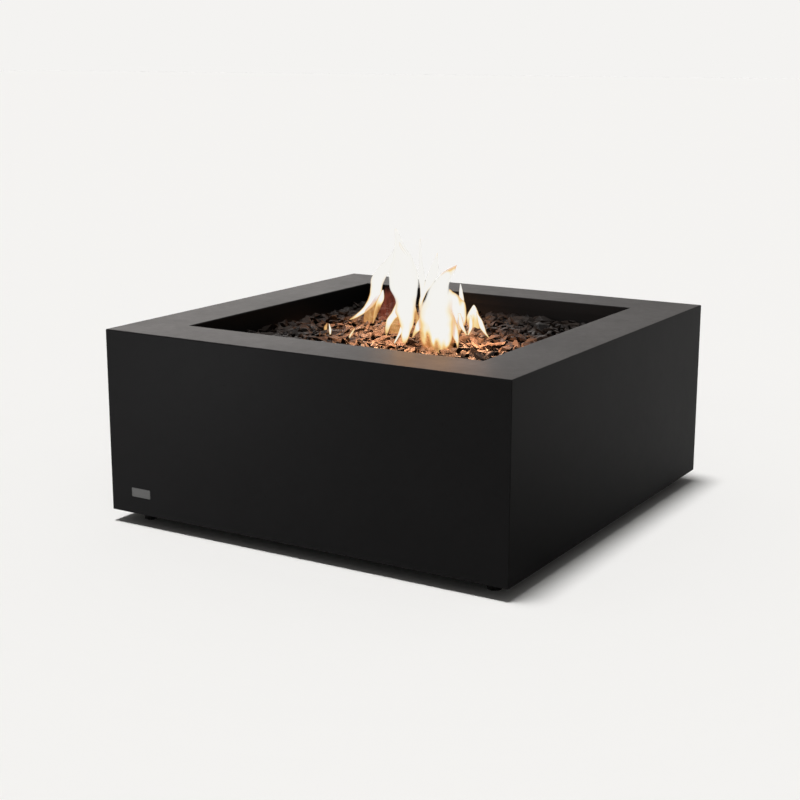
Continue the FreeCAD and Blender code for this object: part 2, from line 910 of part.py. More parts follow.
# Gas valve
def valve_body():
    reach_x = valve_width / 2
    reach_z = valve_height / 2
    body = block(-reach_x, reach_x, valve_rear, plate_rear, control_z - reach_z, control_z + reach_z)
    body = body.makeChamfer(valve_bevel, [e for e in body.Edges if runs_along(e, Y)])
    ports = []
    for direction in (X, X * -1):
        start = Vector(0, valve_port_y, control_z) + direction * reach_x
        ports.append(hexagon(fitting_flats, start, direction, fitting_hex_height))
        ports += flare_thread(start + direction * fitting_hex_height, direction)
    body = joined(body, ports)
    cuts = [
        rod(gland_radius + thread_gap, Vector(0, gland_rear, control_z), Y, gland_length),
        rod(plug_radius + running_gap, Vector(0, plug_rear, control_z), Y, plug_length + end_gap),
        rod(valve_chamber_radius, Vector(0, plug_rear, control_z), Y * -1, chamber_length),
        rod(valve_passage_radius, Vector(-valve_port_end, valve_port_y, control_z), X, 2 * valve_port_end),
    ]
    for z in (-valve_screw_place, valve_screw_place):
        start = Vector(0, plate_rear, control_z + z)
        cuts.append(rod(valve_screw_radius + thread_gap, start, Y * -1, valve_screw_length))
    return body.cut(cuts[0].multiFuse(cuts[1:]))


def valve_gland():
    start = Vector(0, gland_rear, control_z)
    gland = rod(gland_radius, start, Y, gland_length)
    return gland.cut(rod(spindle_radius + running_gap, start, Y, gland_length))


def valve_plug():
    start = Vector(0, plug_rear, control_z)
    plug = rod(plug_radius, start, Y, plug_length)
    passage_start = Vector(0, valve_port_y, control_z - plug_radius)
    passage = rod(valve_passage_radius, passage_start, Z, 2 * plug_radius)
    return plug.cut(rod(spindle_radius + running_gap, start, Y, plug_length)).cut(passage)


def valve_spindle():
    start = Vector(0, plug_rear - spindle_tail, control_z)
    return rod(spindle_radius, start, Y, spindle_front - start.y)


def spring_sleeve(radius, start, length):
    sleeve = rod(radius, start, Y, length)
    return sleeve.cut(rod(radius - spring_wire, start, Y, length))


def knob_spring():
    length = knob_back + spring_pocket_depth - plate_rear
    return spring_sleeve(spring_radius, Vector(0, plate_rear, control_z), length)


def safety_magnet():
    return rod(magnet_radius, Vector(0, magnet_rear, control_z), Y, magnet_length)


def thermocouple_nut():
    start = Vector(0, magnet_nut_rear, control_z)
    nut = hexagon(magnet_nut_flats, start, Y, magnet_nut_length)
    return nut.cut(rod(thermocouple_lead_radius + grommet_gap, start, Y, magnet_nut_length))


def valve_screws():
    screws = []
    for z in (-valve_screw_place, valve_screw_place):
        front = Vector(0, plate_front, control_z + z)
        head = hexagon(valve_screw_flats, front, Y, legend_thickness)
        screws.append(head.fuse(rod(valve_screw_radius, front, Y * -1, control_steel + valve_screw_length)))
    return group(screws)


# Knob
def knob_legend():
    reach_x = legend_width / 2
    reach_z = legend_height / 2
    plate = block(-reach_x, reach_x, plate_front, legend_front, control_z - reach_z, control_z + reach_z)
    plate = plate.makeChamfer(legend_corner, [e for e in plate.Edges if runs_along(e, Y)])
    holes = [rod(spindle_hole_radius, Vector(0, plate_front, control_z), Y, legend_thickness)]
    for z in (-valve_screw_place, valve_screw_place):
        start = Vector(0, plate_front, control_z + z)
        holes.append(rod(valve_screw_flats / math.sqrt(3) + grommet_gap, start, Y, legend_thickness))
    return plate.cut(group(holes))


def control_knob():
    """A round skirt with a bar grip across it, and the pocket that the return spring seats in."""
    front = knob_skirt_front + knob_grip_height
    skirt = rod(knob_radius, Vector(0, knob_back, control_z), Y, knob_skirt)
    rim_edges = [e for e in skirt.Edges if near(e.CenterOfMass.y, knob_skirt_front)]
    skirt = skirt.makeChamfer(knob_bevel, rim_edges)
    grip = block(
        -knob_grip_width / 2,
        knob_grip_width / 2,
        knob_skirt_front,
        front,
        control_z - knob_grip_length / 2,
        control_z + knob_grip_length / 2,
    )
    grip = grip.makeChamfer(knob_grip_bevel, [e for e in grip.Edges if near(e.CenterOfMass.y, front)])
    body = joined(skirt, [grip])
    pocket = rod(spring_radius + spring_pocket_gap, Vector(0, knob_back, control_z), Y, spring_pocket_depth)
    socket = rod(spindle_radius + thread_gap, Vector(0, knob_back, control_z), Y, spindle_socket_depth)
    grub = rod(grub_screw_radius + thread_gap, grub_place(), X, knob_radius)
    return body.cut(pocket.fuse(socket)).cut(grub)


def grub_place():
    return Vector(spindle_radius, (knob_back + spring_pocket_depth + spindle_front) / 2, control_z)


def knob_grub_screw():
    return rod(grub_screw_radius, grub_place() + X * thread_gap, X, knob_grip_width / 2 - spindle_radius)


# Igniter
def igniter_body():
    start = Vector(igniter_x, igniter_rear, igniter_z)
    body = rod(igniter_radius, start, Y, igniter_length)
    flange = rod(igniter_flange_radius, Vector(igniter_x, plate_front, igniter_z), Y, igniter_flange_height)
    bore_start = Vector(igniter_x, igniter_spring_rear, igniter_z)
    bore = rod(button_radius + running_gap, bore_start, Y, igniter_front - igniter_spring_rear)
    terminal = rod(ignition_lead_radius + grommet_gap, start, Y, igniter_terminal_length)
    return joined(body, [flange]).cut(bore).cut(terminal)


def igniter_nut():
    start = Vector(igniter_x, plate_rear - igniter_nut_height, igniter_z)
    nut = hexagon(igniter_nut_flats, start, Y, igniter_nut_height)
    return nut.cut(rod(igniter_radius + thread_gap, start, Y, igniter_nut_height))


def igniter_button():
    length = button_length - button_bevel
    body = rod(button_radius, Vector(igniter_x, button_rear, igniter_z), Y, length)
    bevel_start = Vector(igniter_x, button_rear + length, igniter_z)
    bevel = taper(button_radius, button_radius - button_bevel, bevel_start, Y, button_bevel)
    return body.fuse(bevel).removeSplitter()


def igniter_spring():
    start = Vector(igniter_x, igniter_spring_rear, igniter_z)
    return spring_sleeve(button_radius - spring_wire, start, button_rear - igniter_spring_rear)


# Gas inlet
def gas_inlet():
    hex_start = Vector(inlet_x, plate_front, control_z)
    hexagon_part = hexagon(flare_nut_flats, hex_start, Y, inlet_hex_height)
    stub = rod(inlet_stub_radius, hex_start, Y * -1, inlet_stub_length)
    thread_start = hex_start + Y * inlet_hex_height
    thread = rod(flare_radius, thread_start, Y, flare_length)
    cone = taper(flare_radius, flare_tip_radius, thread_start + Y * flare_length, Y, flare_tip_length)
    body = joined(hexagon_part, [stub, thread, cone])
    bore_start = hex_start - Y * inlet_stub_length
    return body.cut(rod(fitting_bore_radius, bore_start, Y, inlet_front - bore_start.y))


def gas_inlet_nut():
    start = Vector(inlet_x, plate_rear - inlet_nut_height, control_z)
    nut = hexagon(inlet_nut_flats, start, Y, inlet_nut_height)
    return nut.cut(rod(inlet_stub_radius + thread_gap, start, Y, inlet_nut_height))


def inlet_elbow():
    """A forged elbow with flat sides, from the inlet's stub to the valve's side port."""
    corner = Vector(inlet_x, valve_port_y, control_z)
    reach = elbow_flats / 2
    arm_end = -valve_port_end - elbow_spigot_length
    arms = block(
        corner.x - reach,
        arm_end,
        corner.y - reach,
        corner.y + reach,
        corner.z - reach,
        corner.z + reach,
    )
    socket = prism(elbow_socket_sides, elbow_flats, corner, Y, elbow_front - corner.y)
    spigot = rod(elbow_spigot_radius, Vector(arm_end, corner.y, corner.z), X, elbow_spigot_length)
    body = joined(arms, [socket, spigot])
    socket_start = Vector(corner.x, elbow_front - elbow_socket_depth, corner.z)
    cuts = [
        rod(inlet_stub_radius + thread_gap, socket_start, Y, elbow_socket_depth),
        rod(fitting_bore_radius, corner, Y, socket_start.y - corner.y),
        rod(fitting_bore_radius, corner, X, -valve_port_end - inlet_x),
    ]
    return body.cut(cuts[0].multiFuse(cuts[1:]))


# Hose and leads
def route_edges(points, name):
    """Straight runs joined by tangent arcs, each as large as its two runs allow."""
    edges = []
    start = points[0]
    radii = []
    for before, corner, after in zip(points, points[1:], points[2:]):
        to_before = before - corner
        to_after = after - corner
        shorter = min(to_before.Length, to_after.Length)
        to_before.normalize()
        to_after.normalize()
        half_turn = (math.pi - to_before.getAngle(to_after)) / 2
        trim = arc_share * shorter
        radius = trim / math.tan(half_turn)
        middle_way = to_before + to_after
        middle_way.normalize()
        centre_distance = radius / math.cos(half_turn)
        arc_start = corner + to_before * trim
        arc_end = corner + to_after * trim
        arc_middle = corner + middle_way * (centre_distance - radius)
        edges.append(Part.LineSegment(start, arc_start).toShape())
        edges.append(Part.Arc(arc_start, arc_middle, arc_end).toShape())
        start = arc_end
        radii.append(radius)
    edges.append(Part.LineSegment(start, points[-1]).toShape())
    print(name, "radii", [round(r) for r in radii])
    return edges


def tube_along(points, radius, name):
    """A plain tube along a route. Its section is a polygon as large as the round one."""
    wire = Part.Wire(route_edges(points, name))
    direction = points[1] - points[0]
    direction.normalize()
    area = math.pi * radius ** 2
    flats = 2 * math.sqrt(area / cord_sides / math.tan(math.pi / cord_sides))
    section = prism(cord_sides, flats, points[0], direction, 1.0)
    outline = [f for f in section.Faces if near(f.CenterOfMass.sub(points[0]).Length, 0)][0].OuterWire
    tube = wire.makePipeShell([outline], True, False)
    print(name, "length", round(wire.Length), "volume ratio", round(tube.Volume / (area * wire.Length), 4))
    return tube


def gas_hose():
    outlet = Vector(valve_port_end, valve_port_y, control_z)
    points = [
        outlet,
        outlet + X * 110,
        Vector(215, 310, control_z - 45),
        Vector(150, 180, control_z - 110),
        Vector(75, 86, 50),
        Vector(0, 0, 85),
        Vector(0, 0, jet_end),
    ]
    return tube_along(points, hose_radius, "gas_hose")


def ignition_lead():
    terminal = Vector(igniter_x, igniter_rear + igniter_terminal_length, igniter_z)
    points = [
        Vector(probe_x, probe_y, insulator_bottom),
        Vector(probe_x, probe_y, 284),
        Vector(22, 215, 247),
        Vector(38, 254, 227),
        Vector(62, 306, 232),
        terminal - Y * 52,
        terminal,
    ]
    return tube_along(points, ignition_lead_radius, "ignition_lead")


def thermocouple_lead():
    nut = Vector(0, magnet_rear, control_z)
    points = [
        Vector(-probe_x, probe_y, insulator_bottom),
        Vector(-probe_x, probe_y, 290),
        Vector(-17, 206, 250),
        Vector(-21, 252, 227),
        Vector(-11, 292, 211),
        nut - Y * 40,
        nut,
    ]
    return tube_along(points, thermocouple_lead_radius, "thermocouple_lead")


def hose_nut_mixer():
    return flare_nut(Vector(0, 0, jet_end), Z * -1)


def hose_nut_valve():
    return flare_nut(Vector(valve_port_end, valve_port_y, control_z), X)


def inlet_union_nut():
    return flare_nut(Vector(-valve_port_end, valve_port_y, control_z), X * -1)


PIECES = [
    casing,
    bowl_ring,
    nameplate,
    bumper_feet,
    foot_screws,
    foot_inserts,
    tray_gasket,
    burner_tray,
    glass_media,
    ring_burner,
    burner_nipple,
    tray_locknut,
    pilot_bracket,
    electrode_insulator,
    electrode_rod,
    thermocouple_probe,
    lead_grommets,
    air_mixer,
    air_shutter,
    shutter_screw,
    jet_holder,
    hose_nut_mixer,
    hose_nut_valve,
    heat_shield,
    shield_spacers,
    shield_screws,
    gas_hose,
    ignition_lead,
    thermocouple_lead,
    control_box,
    control_box_screws,
    control_box_inserts,
    valve_body,
    valve_gland,
    valve_plug,
    valve_spindle,
    knob_spring,
    safety_magnet,
    thermocouple_nut,
    valve_screws,
    knob_legend,
    control_knob,
    knob_grub_screw,
    igniter_body,
    igniter_nut,
    igniter_button,
    igniter_spring,
    gas_inlet,
    gas_inlet_nut,
    inlet_elbow,
    inlet_union_nut,
]


def save(name, shape):
    shape.exportStep("parts/" + name + ".step")
    print(name, "solids", len(shape.Solids), "valid", shape.isValid())


os.makedirs("parts", exist_ok=True)
for piece in PIECES:
    save(piece.__name__, piece())
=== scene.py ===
"""Square gas fire pit table: a cast body on rubber feet, black fire glass, a ring burner and its gas train.

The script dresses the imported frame. Sizes are in metres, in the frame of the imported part: +Z is up, the
controls are on the +Y side, and the origin is on the floor under the middle of the table.
"""

import math
import random
from collections import namedtuple

import bmesh
import bpy
import numpy as np
from mathutils import Matrix, Vector, noise
from mathutils.bvhtree import BVHTree


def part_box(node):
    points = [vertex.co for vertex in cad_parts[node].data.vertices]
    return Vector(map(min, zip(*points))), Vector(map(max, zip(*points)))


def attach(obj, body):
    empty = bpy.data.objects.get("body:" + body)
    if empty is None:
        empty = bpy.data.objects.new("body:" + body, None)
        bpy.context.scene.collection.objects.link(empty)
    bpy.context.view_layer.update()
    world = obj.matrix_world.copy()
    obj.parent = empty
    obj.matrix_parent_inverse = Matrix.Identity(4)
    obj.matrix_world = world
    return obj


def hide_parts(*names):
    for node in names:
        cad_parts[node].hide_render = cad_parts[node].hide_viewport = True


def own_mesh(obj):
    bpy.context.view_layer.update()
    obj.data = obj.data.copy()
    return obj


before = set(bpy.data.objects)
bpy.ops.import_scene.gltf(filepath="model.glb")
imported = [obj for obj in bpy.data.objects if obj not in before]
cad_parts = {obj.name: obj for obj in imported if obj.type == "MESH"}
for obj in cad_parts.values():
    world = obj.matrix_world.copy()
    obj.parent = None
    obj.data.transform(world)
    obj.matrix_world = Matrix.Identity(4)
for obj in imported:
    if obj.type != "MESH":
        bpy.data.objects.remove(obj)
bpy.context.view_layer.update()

bl_info = {
    "name": "Gas Fire Pit Table",
    "version": (1, 0, 0),
    "blender": (4, 5, 0),
    "location": "View3D > Sidebar > Fire Pit",
    "description": "Dresses a packed gas fire pit table with its finishes, fire glass, flames and studio",
    "category": "Object",
}

UP = Vector((0.0, 0.0, 1.0))
REARWARD = Vector((0.0, 1.0, 0.0))

# Horizontal lines of the main view: the flames spread across it and are thin along it
ACROSS = Vector((0.8547, 0.5191, 0.0))
AWAY = Vector((-0.5191, 0.8547, 0.0))


# Settings

class CastSettings(bpy.types.PropertyGroup):
    """The cast body, the ring under its rim and the rubber feet."""

    colour: bpy.props.FloatVectorProperty(
        name="Colour", description="Colour of the cast stone", subtype="COLOR", size=3,
        min=0.0, max=1.0, default=(0.0128, 0.0125, 0.0127))
    cloud: bpy.props.FloatProperty(
        name="Cloud", description="How much the casting's colour drifts from place to place",
        min=0.0, max=1.0, default=0.16, subtype="FACTOR")
    pores: bpy.props.FloatProperty(
        name="Pores", description="Share of the cells that hold a fine pore",
        min=0.0, max=1.0, default=0.12, subtype="FACTOR")
    roughness: bpy.props.FloatProperty(
        name="Roughness", description="Roughness of the sealed surface",
        min=0.0, max=1.0, default=0.38, subtype="FACTOR")
    sheen_level: bpy.props.FloatProperty(
        name="Specular level", description="Strength of the sealer's reflection",
        min=0.0, max=1.0, default=0.022, subtype="FACTOR")
    rubber: bpy.props.FloatVectorProperty(
        name="Rubber", description="Colour of the feet", subtype="COLOR", size=3,
        min=0.0, max=1.0, default=(0.012, 0.012, 0.012))


class PlateSettings(bpy.types.PropertyGroup):
    """The small bare metal plate at the front."""

    corner: bpy.props.FloatProperty(
        name="Corner radius", description="Radius of the plate's corners", default=0.0024,
        min=0.0005, max=0.008, subtype="DISTANCE", unit="LENGTH")
    border: bpy.props.FloatProperty(
        name="Border", description="Distance from the plate's edge to its engraved line", default=0.0015,
        min=0.0005, max=0.005, subtype="DISTANCE", unit="LENGTH")
    groove: bpy.props.FloatProperty(
        name="Groove", description="Depth of the engraved line", default=0.00025,
        min=0.00005, max=0.0006, subtype="DISTANCE", unit="LENGTH")
    colour: bpy.props.FloatVectorProperty(
        name="Colour", description="Colour of the brushed plate", subtype="COLOR", size=3,
        min=0.0, max=1.0, default=(0.174, 0.175, 0.174))


class GlassSettings(bpy.types.PropertyGroup):
    """The broken black glass in the bowl."""

    seed: bpy.props.IntProperty(
        name="Seed", description="Starts the random places and shapes of the chips", default=7, min=0)
    spacing: bpy.props.FloatProperty(
        name="Spacing", description="Distance between neighbouring chips of a layer", default=0.0265,
        min=0.008, max=0.05, subtype="DISTANCE", unit="LENGTH")
    least: bpy.props.FloatProperty(
        name="Least length", description="Length of the shortest chips", default=0.026,
        min=0.005, max=0.05, subtype="DISTANCE", unit="LENGTH")
    most: bpy.props.FloatProperty(
        name="Most length", description="Length of the longest chips", default=0.060,
        min=0.005, max=0.06, subtype="DISTANCE", unit="LENGTH")
    black: bpy.props.FloatVectorProperty(
        name="Black", description="Colour of the darkest chips", subtype="COLOR", size=3,
        min=0.0, max=1.0, default=(0.0056, 0.0047, 0.0045))
    smoke: bpy.props.FloatVectorProperty(
        name="Smoke", description="Colour of the palest chips", subtype="COLOR", size=3,
        min=0.0, max=1.0, default=(0.0285, 0.0222, 0.0188))


class FlameSettings(bpy.types.PropertyGroup):
    """The burning gas over the glass."""

    hot: bpy.props.FloatVectorProperty(
        name="Hot", description="Colour of the thick, hot flame", subtype="COLOR", size=3,
        min=0.0, max=1.0, default=(0.905, 0.893, 0.862))
    pale: bpy.props.FloatVectorProperty(
        name="Pale", description="Colour of the edges high up", subtype="COLOR", size=3,
        min=0.0, max=1.0, default=(0.900, 0.887, 0.835))
    yellow: bpy.props.FloatVectorProperty(
        name="Yellow", description="Colour between the edge and the hot middle, low down", subtype="COLOR",
        size=3, min=0.0, max=1.0, default=(0.930, 0.740, 0.340))
    orange: bpy.props.FloatVectorProperty(
        name="Orange", description="Colour of the thin edges low down", subtype="COLOR", size=3,
        min=0.0, max=1.0, default=(0.780, 0.300, 0.075))
    ember: bpy.props.FloatVectorProperty(
        name="Ember", description="Colour of the thin gas between the tongues", subtype="COLOR", size=3,
        min=0.0, max=1.0, default=(0.520, 0.120, 0.070))
    streaks: bpy.props.FloatProperty(
        name="Streaks", description="How much the thin flame is streaked", default=0.55, min=0.0, max=2.0)
    flicker: bpy.props.FloatProperty(
        name="Flicker", description="Depth of the ripples in the outline", default=0.0023,
        min=0.0, max=0.01, subtype="DISTANCE", unit="LENGTH")
    fringe: bpy.props.FloatProperty(
        name="Fringe", description="Height of the fingers at the foot of a wide tongue", default=0.055,
        min=0.0, max=0.1, subtype="DISTANCE", unit="LENGTH")
    lamp_power: bpy.props.FloatProperty(
        name="Power", description="Power of each lamp over the glass", default=19.5,
        min=0.0, max=500.0, subtype="POWER", unit="POWER")
    lamp_colour: bpy.props.FloatVectorProperty(
        name="Lamp colour", description="Colour of the light that the flames throw", subtype="COLOR", size=3,
        min=0.0, max=1.0, default=(1.0, 0.465, 0.22))
    mirrored: bpy.props.FloatVectorProperty(
        name="Mirrored", description="Colour of the flames as the rim mirrors them", subtype="COLOR", size=3,
        min=0.0, max=1.0, default=(1.0, 0.60, 0.35))
    mirror_strength: bpy.props.FloatProperty(
        name="Mirror strength", description="How bright the flames are as the rim mirrors them", default=4.6,
        min=0.0, max=20.0)
    glow_power: bpy.props.FloatProperty(
        name="Glow power", description="Power of the light that the flames throw on the rim", default=0.7,
        min=0.0, max=50.0, subtype="POWER", unit="POWER")
    wall_power: bpy.props.FloatProperty(
        name="Wall power", description="Power of the light on the rear wall of the bowl", default=7.0,
        min=0.0, max=50.0, subtype="POWER", unit="POWER")


class MetalSettings(bpy.types.PropertyGroup):
    """The metal parts of the bowl and the gas train."""

    brass: bpy.props.FloatVectorProperty(
        name="Brass", description="Colour of turned brass", subtype="COLOR", size=3,
        min=0.0, max=1.0, default=(0.66, 0.44, 0.17))
    zinc: bpy.props.FloatVectorProperty(
        name="Zinc", description="Colour of zinc plated steel", subtype="COLOR", size=3,
        min=0.0, max=1.0, default=(0.50, 0.51, 0.53))
    stainless: bpy.props.FloatVectorProperty(
        name="Stainless", description="Colour of stainless steel", subtype="COLOR", size=3,
        min=0.0, max=1.0, default=(0.47, 0.46, 0.45))
    copper: bpy.props.FloatVectorProperty(
        name="Copper", description="Colour of copper", subtype="COLOR", size=3,
        min=0.0, max=1.0, default=(0.68, 0.31, 0.17))
    aluminised: bpy.props.FloatVectorProperty(
        name="Aluminised steel", description="Colour of the heat shield", subtype="COLOR", size=3,
        min=0.0, max=1.0, default=(0.42, 0.43, 0.44))
    aluminium: bpy.props.FloatVectorProperty(
        name="Aluminium", description="Colour of the cast valve body", subtype="COLOR", size=3,
        min=0.0, max=1.0, default=(0.46, 0.47, 0.48))
    coating: bpy.props.FloatVectorProperty(
        name="Coating", description="Colour of the black coating on sheet steel", subtype="COLOR", size=3,
        min=0.0, max=1.0, default=(0.013, 0.013, 0.014))


class HoseSettings(bpy.types.PropertyGroup):
    """The gas hose and the two leads inside the casing."""

    hose_radius: bpy.props.FloatProperty(
        name="Hose radius", description="Outer radius of the braided hose", default=0.0058,
        min=0.003, max=0.01, subtype="DISTANCE", unit="LENGTH")
    braid_pitch: bpy.props.FloatProperty(
        name="Braid pitch", description="Length along the hose of one crossing of the braid", default=0.0032,
        min=0.001, max=0.02, subtype="DISTANCE", unit="LENGTH")
    lead_radius: bpy.props.FloatProperty(
        name="Ignition lead radius", description="Outer radius of the ignition lead", default=0.0024,
        min=0.001, max=0.005, subtype="DISTANCE", unit="LENGTH")
    capillary_radius: bpy.props.FloatProperty(
        name="Thermocouple lead radius", description="Outer radius of the thermocouple lead", default=0.0014,
        min=0.0005, max=0.004, subtype="DISTANCE", unit="LENGTH")
    silicone: bpy.props.FloatVectorProperty(
        name="Silicone", description="Colour of the ignition lead", subtype="COLOR", size=3,
        min=0.0, max=1.0, default=(0.42, 0.035, 0.022))


class ControlSettings(bpy.types.PropertyGroup):
    """The knob, its dial, the igniter and their springs."""

    plastic: bpy.props.FloatVectorProperty(
        name="Plastic", description="Colour of the knob and the igniter body", subtype="COLOR", size=3,
        min=0.0, max=1.0, default=(0.014, 0.014, 0.015))
    button: bpy.props.FloatVectorProperty(
        name="Button", description="Colour of the igniter button", subtype="COLOR", size=3,
        min=0.0, max=1.0, default=(0.50, 0.022, 0.016))
    print_colour: bpy.props.FloatVectorProperty(
        name="Print", description="Colour of the dial marks and the pointer", subtype="COLOR", size=3,
        min=0.0, max=1.0, default=(0.72, 0.72, 0.70))
    print_height: bpy.props.FloatProperty(
        name="Print height", description="How far the marks stand off their plate", default=0.00012,
        min=0.00002, max=0.001, subtype="DISTANCE", unit="LENGTH")
    wire: bpy.props.FloatProperty(
        name="Spring wire", description="Radius of the springs' wire", default=0.00045,
        min=0.0001, max=0.002, subtype="DISTANCE", unit="LENGTH")


class StudioSettings(bpy.types.PropertyGroup):
    """The floor, the light and the camera."""

    backdrop: bpy.props.FloatVectorProperty(
        name="Backdrop", description="Colour that the camera sees round the floor", subtype="COLOR", size=3,
        min=0.0, max=1.0, default=(0.905, 0.896, 0.880))
    floor: bpy.props.FloatVectorProperty(
        name="Floor", description="Colour of the floor", subtype="COLOR", size=3,
        min=0.0, max=1.0, default=(0.905, 0.896, 0.880))
    floor_side: bpy.props.FloatProperty(
        name="Floor side", description="Length of the floor's sides", default=120.0,
        min=4.0, max=1000.0, subtype="DISTANCE", unit="LENGTH")
    # Painted shade: how dark the floor by the nearest corner is painted for glossy rays
    near_shade: bpy.props.FloatProperty(
        name="Near shade", description="How much dimmer the floor by the nearest corner is mirrored",
        min=0.0, max=1.0, default=0.92, subtype="FACTOR")
    mirrored: bpy.props.FloatVectorProperty(
        name="Mirrored studio", description="Colour of the studio that glossy surfaces mirror",
        subtype="COLOR", size=3, min=0.0, max=1.0, default=(0.905, 0.858, 0.828))
    key: bpy.props.FloatProperty(
        name="Key", description="Strength of the high soft light", default=2.71, min=0.0, max=20.0)
    key_spread: bpy.props.FloatProperty(
        name="Key spread", description="Angle that the high soft light fills", default=math.radians(12.0),
        min=0.0, max=math.pi, subtype="ANGLE", unit="ROTATION")
    key_to_left: bpy.props.FloatProperty(
        name="Key to the left", description="Tilt of the high light towards the left side",
        default=math.radians(4.3), subtype="ANGLE", unit="ROTATION")
    key_to_front: bpy.props.FloatProperty(
        name="Key to the front", description="Tilt of the high light towards the front",
        default=math.radians(4.0), subtype="ANGLE", unit="ROTATION")
    front_fill: bpy.props.FloatProperty(
        name="Front fill", description="Power of the soft lamp at the left of the front face", default=5.9,
        min=0.0, max=100.0, subtype="POWER", unit="POWER")
    fill_colour: bpy.props.FloatVectorProperty(
        name="Fill colour", description="Colour of the front fill", subtype="COLOR", size=3,
        min=0.0, max=1.0, default=(0.965, 0.975, 1.0))
    ambient: bpy.props.FloatProperty(
        name="Ambient", description="Level of the light from all round", default=0.16, min=0.0, max=2.0)
    dim_side: bpy.props.FloatProperty(
        name="Dim side", description="Level of the reflected studio behind the camera", default=0.12,
        min=0.0, max=1.0)
    window: bpy.props.FloatProperty(
        name="Window", description="Extra level of the reflected studio at the far left", default=2.6,
        min=0.0, max=4.0)
    side_window: bpy.props.FloatProperty(
        name="Side window", description="Extra level of the reflected studio at the near left", default=0.6,
        min=0.0, max=4.0)
    camera_place: bpy.props.FloatVectorProperty(
        name="Camera place", description="Where the camera stands", subtype="TRANSLATION", size=3,
        default=(1.760728, -2.979928, 1.048488))
    camera_turn: bpy.props.FloatVectorProperty(
        name="Camera turn", description="How the camera is turned", subtype="EULER", size=3,
        default=(math.radians(76.929978), math.radians(-0.107151), math.radians(31.274876)))
    lens: bpy.props.FloatProperty(
        name="Lens", description="Focal length of the camera, in millimetres", default=67.46,
        min=10.0, max=300.0)


# Building meshes

def add_object(name, data):
    """Puts a mesh, a lamp or a camera into the scene."""
    holder = bpy.data.objects.new(name, data)
    bpy.context.scene.collection.objects.link(holder)
    return holder


def add_piece(name, mesh, body="cabinet"):
    """Puts a mesh into the scene as a piece that rides on a body of the frame."""
    piece = add_object(name, mesh)
    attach(piece, body)
    return piece


def add_lamp(name, kind, power, place=(0.0, 0.0, 0.0), way=(0.0, 0.0, -1.0), **fields):
    """A lamp that shines from a place along a way."""
    lamp = bpy.data.lights.new(name, kind)
    lamp.energy = power
    for field, value in fields.items():
        setattr(lamp, field, value)
    holder = add_object(name, lamp)
    holder.location = place
    holder.rotation_euler = Vector(way).to_track_quat("-Z", "Y").to_euler()
    return holder


def limited(value):
    """A number kept between 0 and 1."""
    return min(max(value, 0.0), 1.0)


def mesh_from(name, points, faces, smooth=False):
    """A mesh from points and faces, with its faces turned outwards."""
    mesh = bpy.data.meshes.new(name)
    mesh.from_pydata([tuple(point) for point in points], [], faces)
    shape = bmesh.new()
    shape.from_mesh(mesh)
    bmesh.ops.recalc_face_normals(shape, faces=shape.faces)
    for face in shape.faces:
        face.smooth = smooth
    shape.to_mesh(mesh)
    shape.free()
    return mesh


def skin_of(rings):
    """Points and faces of a closed skin over rings that have the same number of points."""
    count = len(rings[0])
    points = [point for ring in rings for point in ring]
    faces = []
    for ring in range(len(rings) - 1):
        for k in range(count):
            after = (k + 1) % count
            low, high = ring * count, (ring + 1) * count
            faces.append((low + k, low + after, high + after, high + k))
    faces.append(tuple(range(count)))
    faces.append(tuple(range(len(points) - count, len(points))))
    return points, faces


def smooth_route(controls, steps=20):
    """Points along the smooth line that these control points pull."""
    line = bpy.data.curves.new("route", "CURVE")
    line.dimensions = "3D"
    line.resolution_u = steps
    spline = line.splines.new("NURBS")
    spline.points.add(len(controls) - 1)
    for knot, place in zip(spline.points, controls):
        knot.co = (*place, 1.0)
    spline.order_u = 3
    spline.use_endpoint_u = True
    holder = bpy.data.objects.new("route", line)
    mesh = bpy.data.meshes.new_from_object(holder)
    path = [vertex.co.copy() for vertex in mesh.vertices]
    bpy.data.objects.remove(holder)
    bpy.data.meshes.remove(mesh)
    bpy.data.curves.remove(line)
    return path


def swept_tube(name, path, radius_at, sides):
    """A closed tube along a path. radius_at gives its radius at a distance along it.

    Each corner keeps how far round and how far along the tube it lies, for a material to read."""
    aim = (path[1] - path[0]).normalized()
    side = aim.orthogonal().normalized()
    rings, lay, travelled = [], [], 0.0
    for k, point in enumerate(path):
        if k:
            travelled += (point - path[k - 1]).length
        after, before = path[min(k + 1, len(path) - 1)], path[max(k - 1, 0)]
        turned = (after - before).normalized()
        side = (aim.rotation_difference(turned) @ side).normalized()
        aim = turned
        other = aim.cross(side)
        radius = radius_at(travelled)
        for n in range(sides):
            angle = math.tau * n / sides
            lay.append((math.sin(angle), math.cos(angle), travelled))
            rings.append(point + (side * math.cos(angle) + other * math.sin(angle)) * radius)
    grouped = [rings[n:n + sides] for n in range(0, len(rings), sides)]
    mesh = mesh_from(name, *skin_of(grouped), smooth=True)
    kept = mesh.attributes.new("lay", "FLOAT_VECTOR", "POINT")
    kept.data.foreach_set("vector", [value for place in lay for value in place])
    return mesh


def rounded_outline(width, height, radius, steps=6):
    """Corner-rounded rectangle round the origin, as (across, up) points."""
    points = []
    for corner, (sign_x, sign_y) in enumerate([(1, 1), (-1, 1), (-1, -1), (1, -1)]):
        for step in range(steps + 1):
            angle = math.pi / 2 * (corner + step / steps)
            points.append((sign_x * (width / 2 - radius) + radius * math.cos(angle),
                           sign_y * (height / 2 - radius) + radius * math.sin(angle)))
    return points


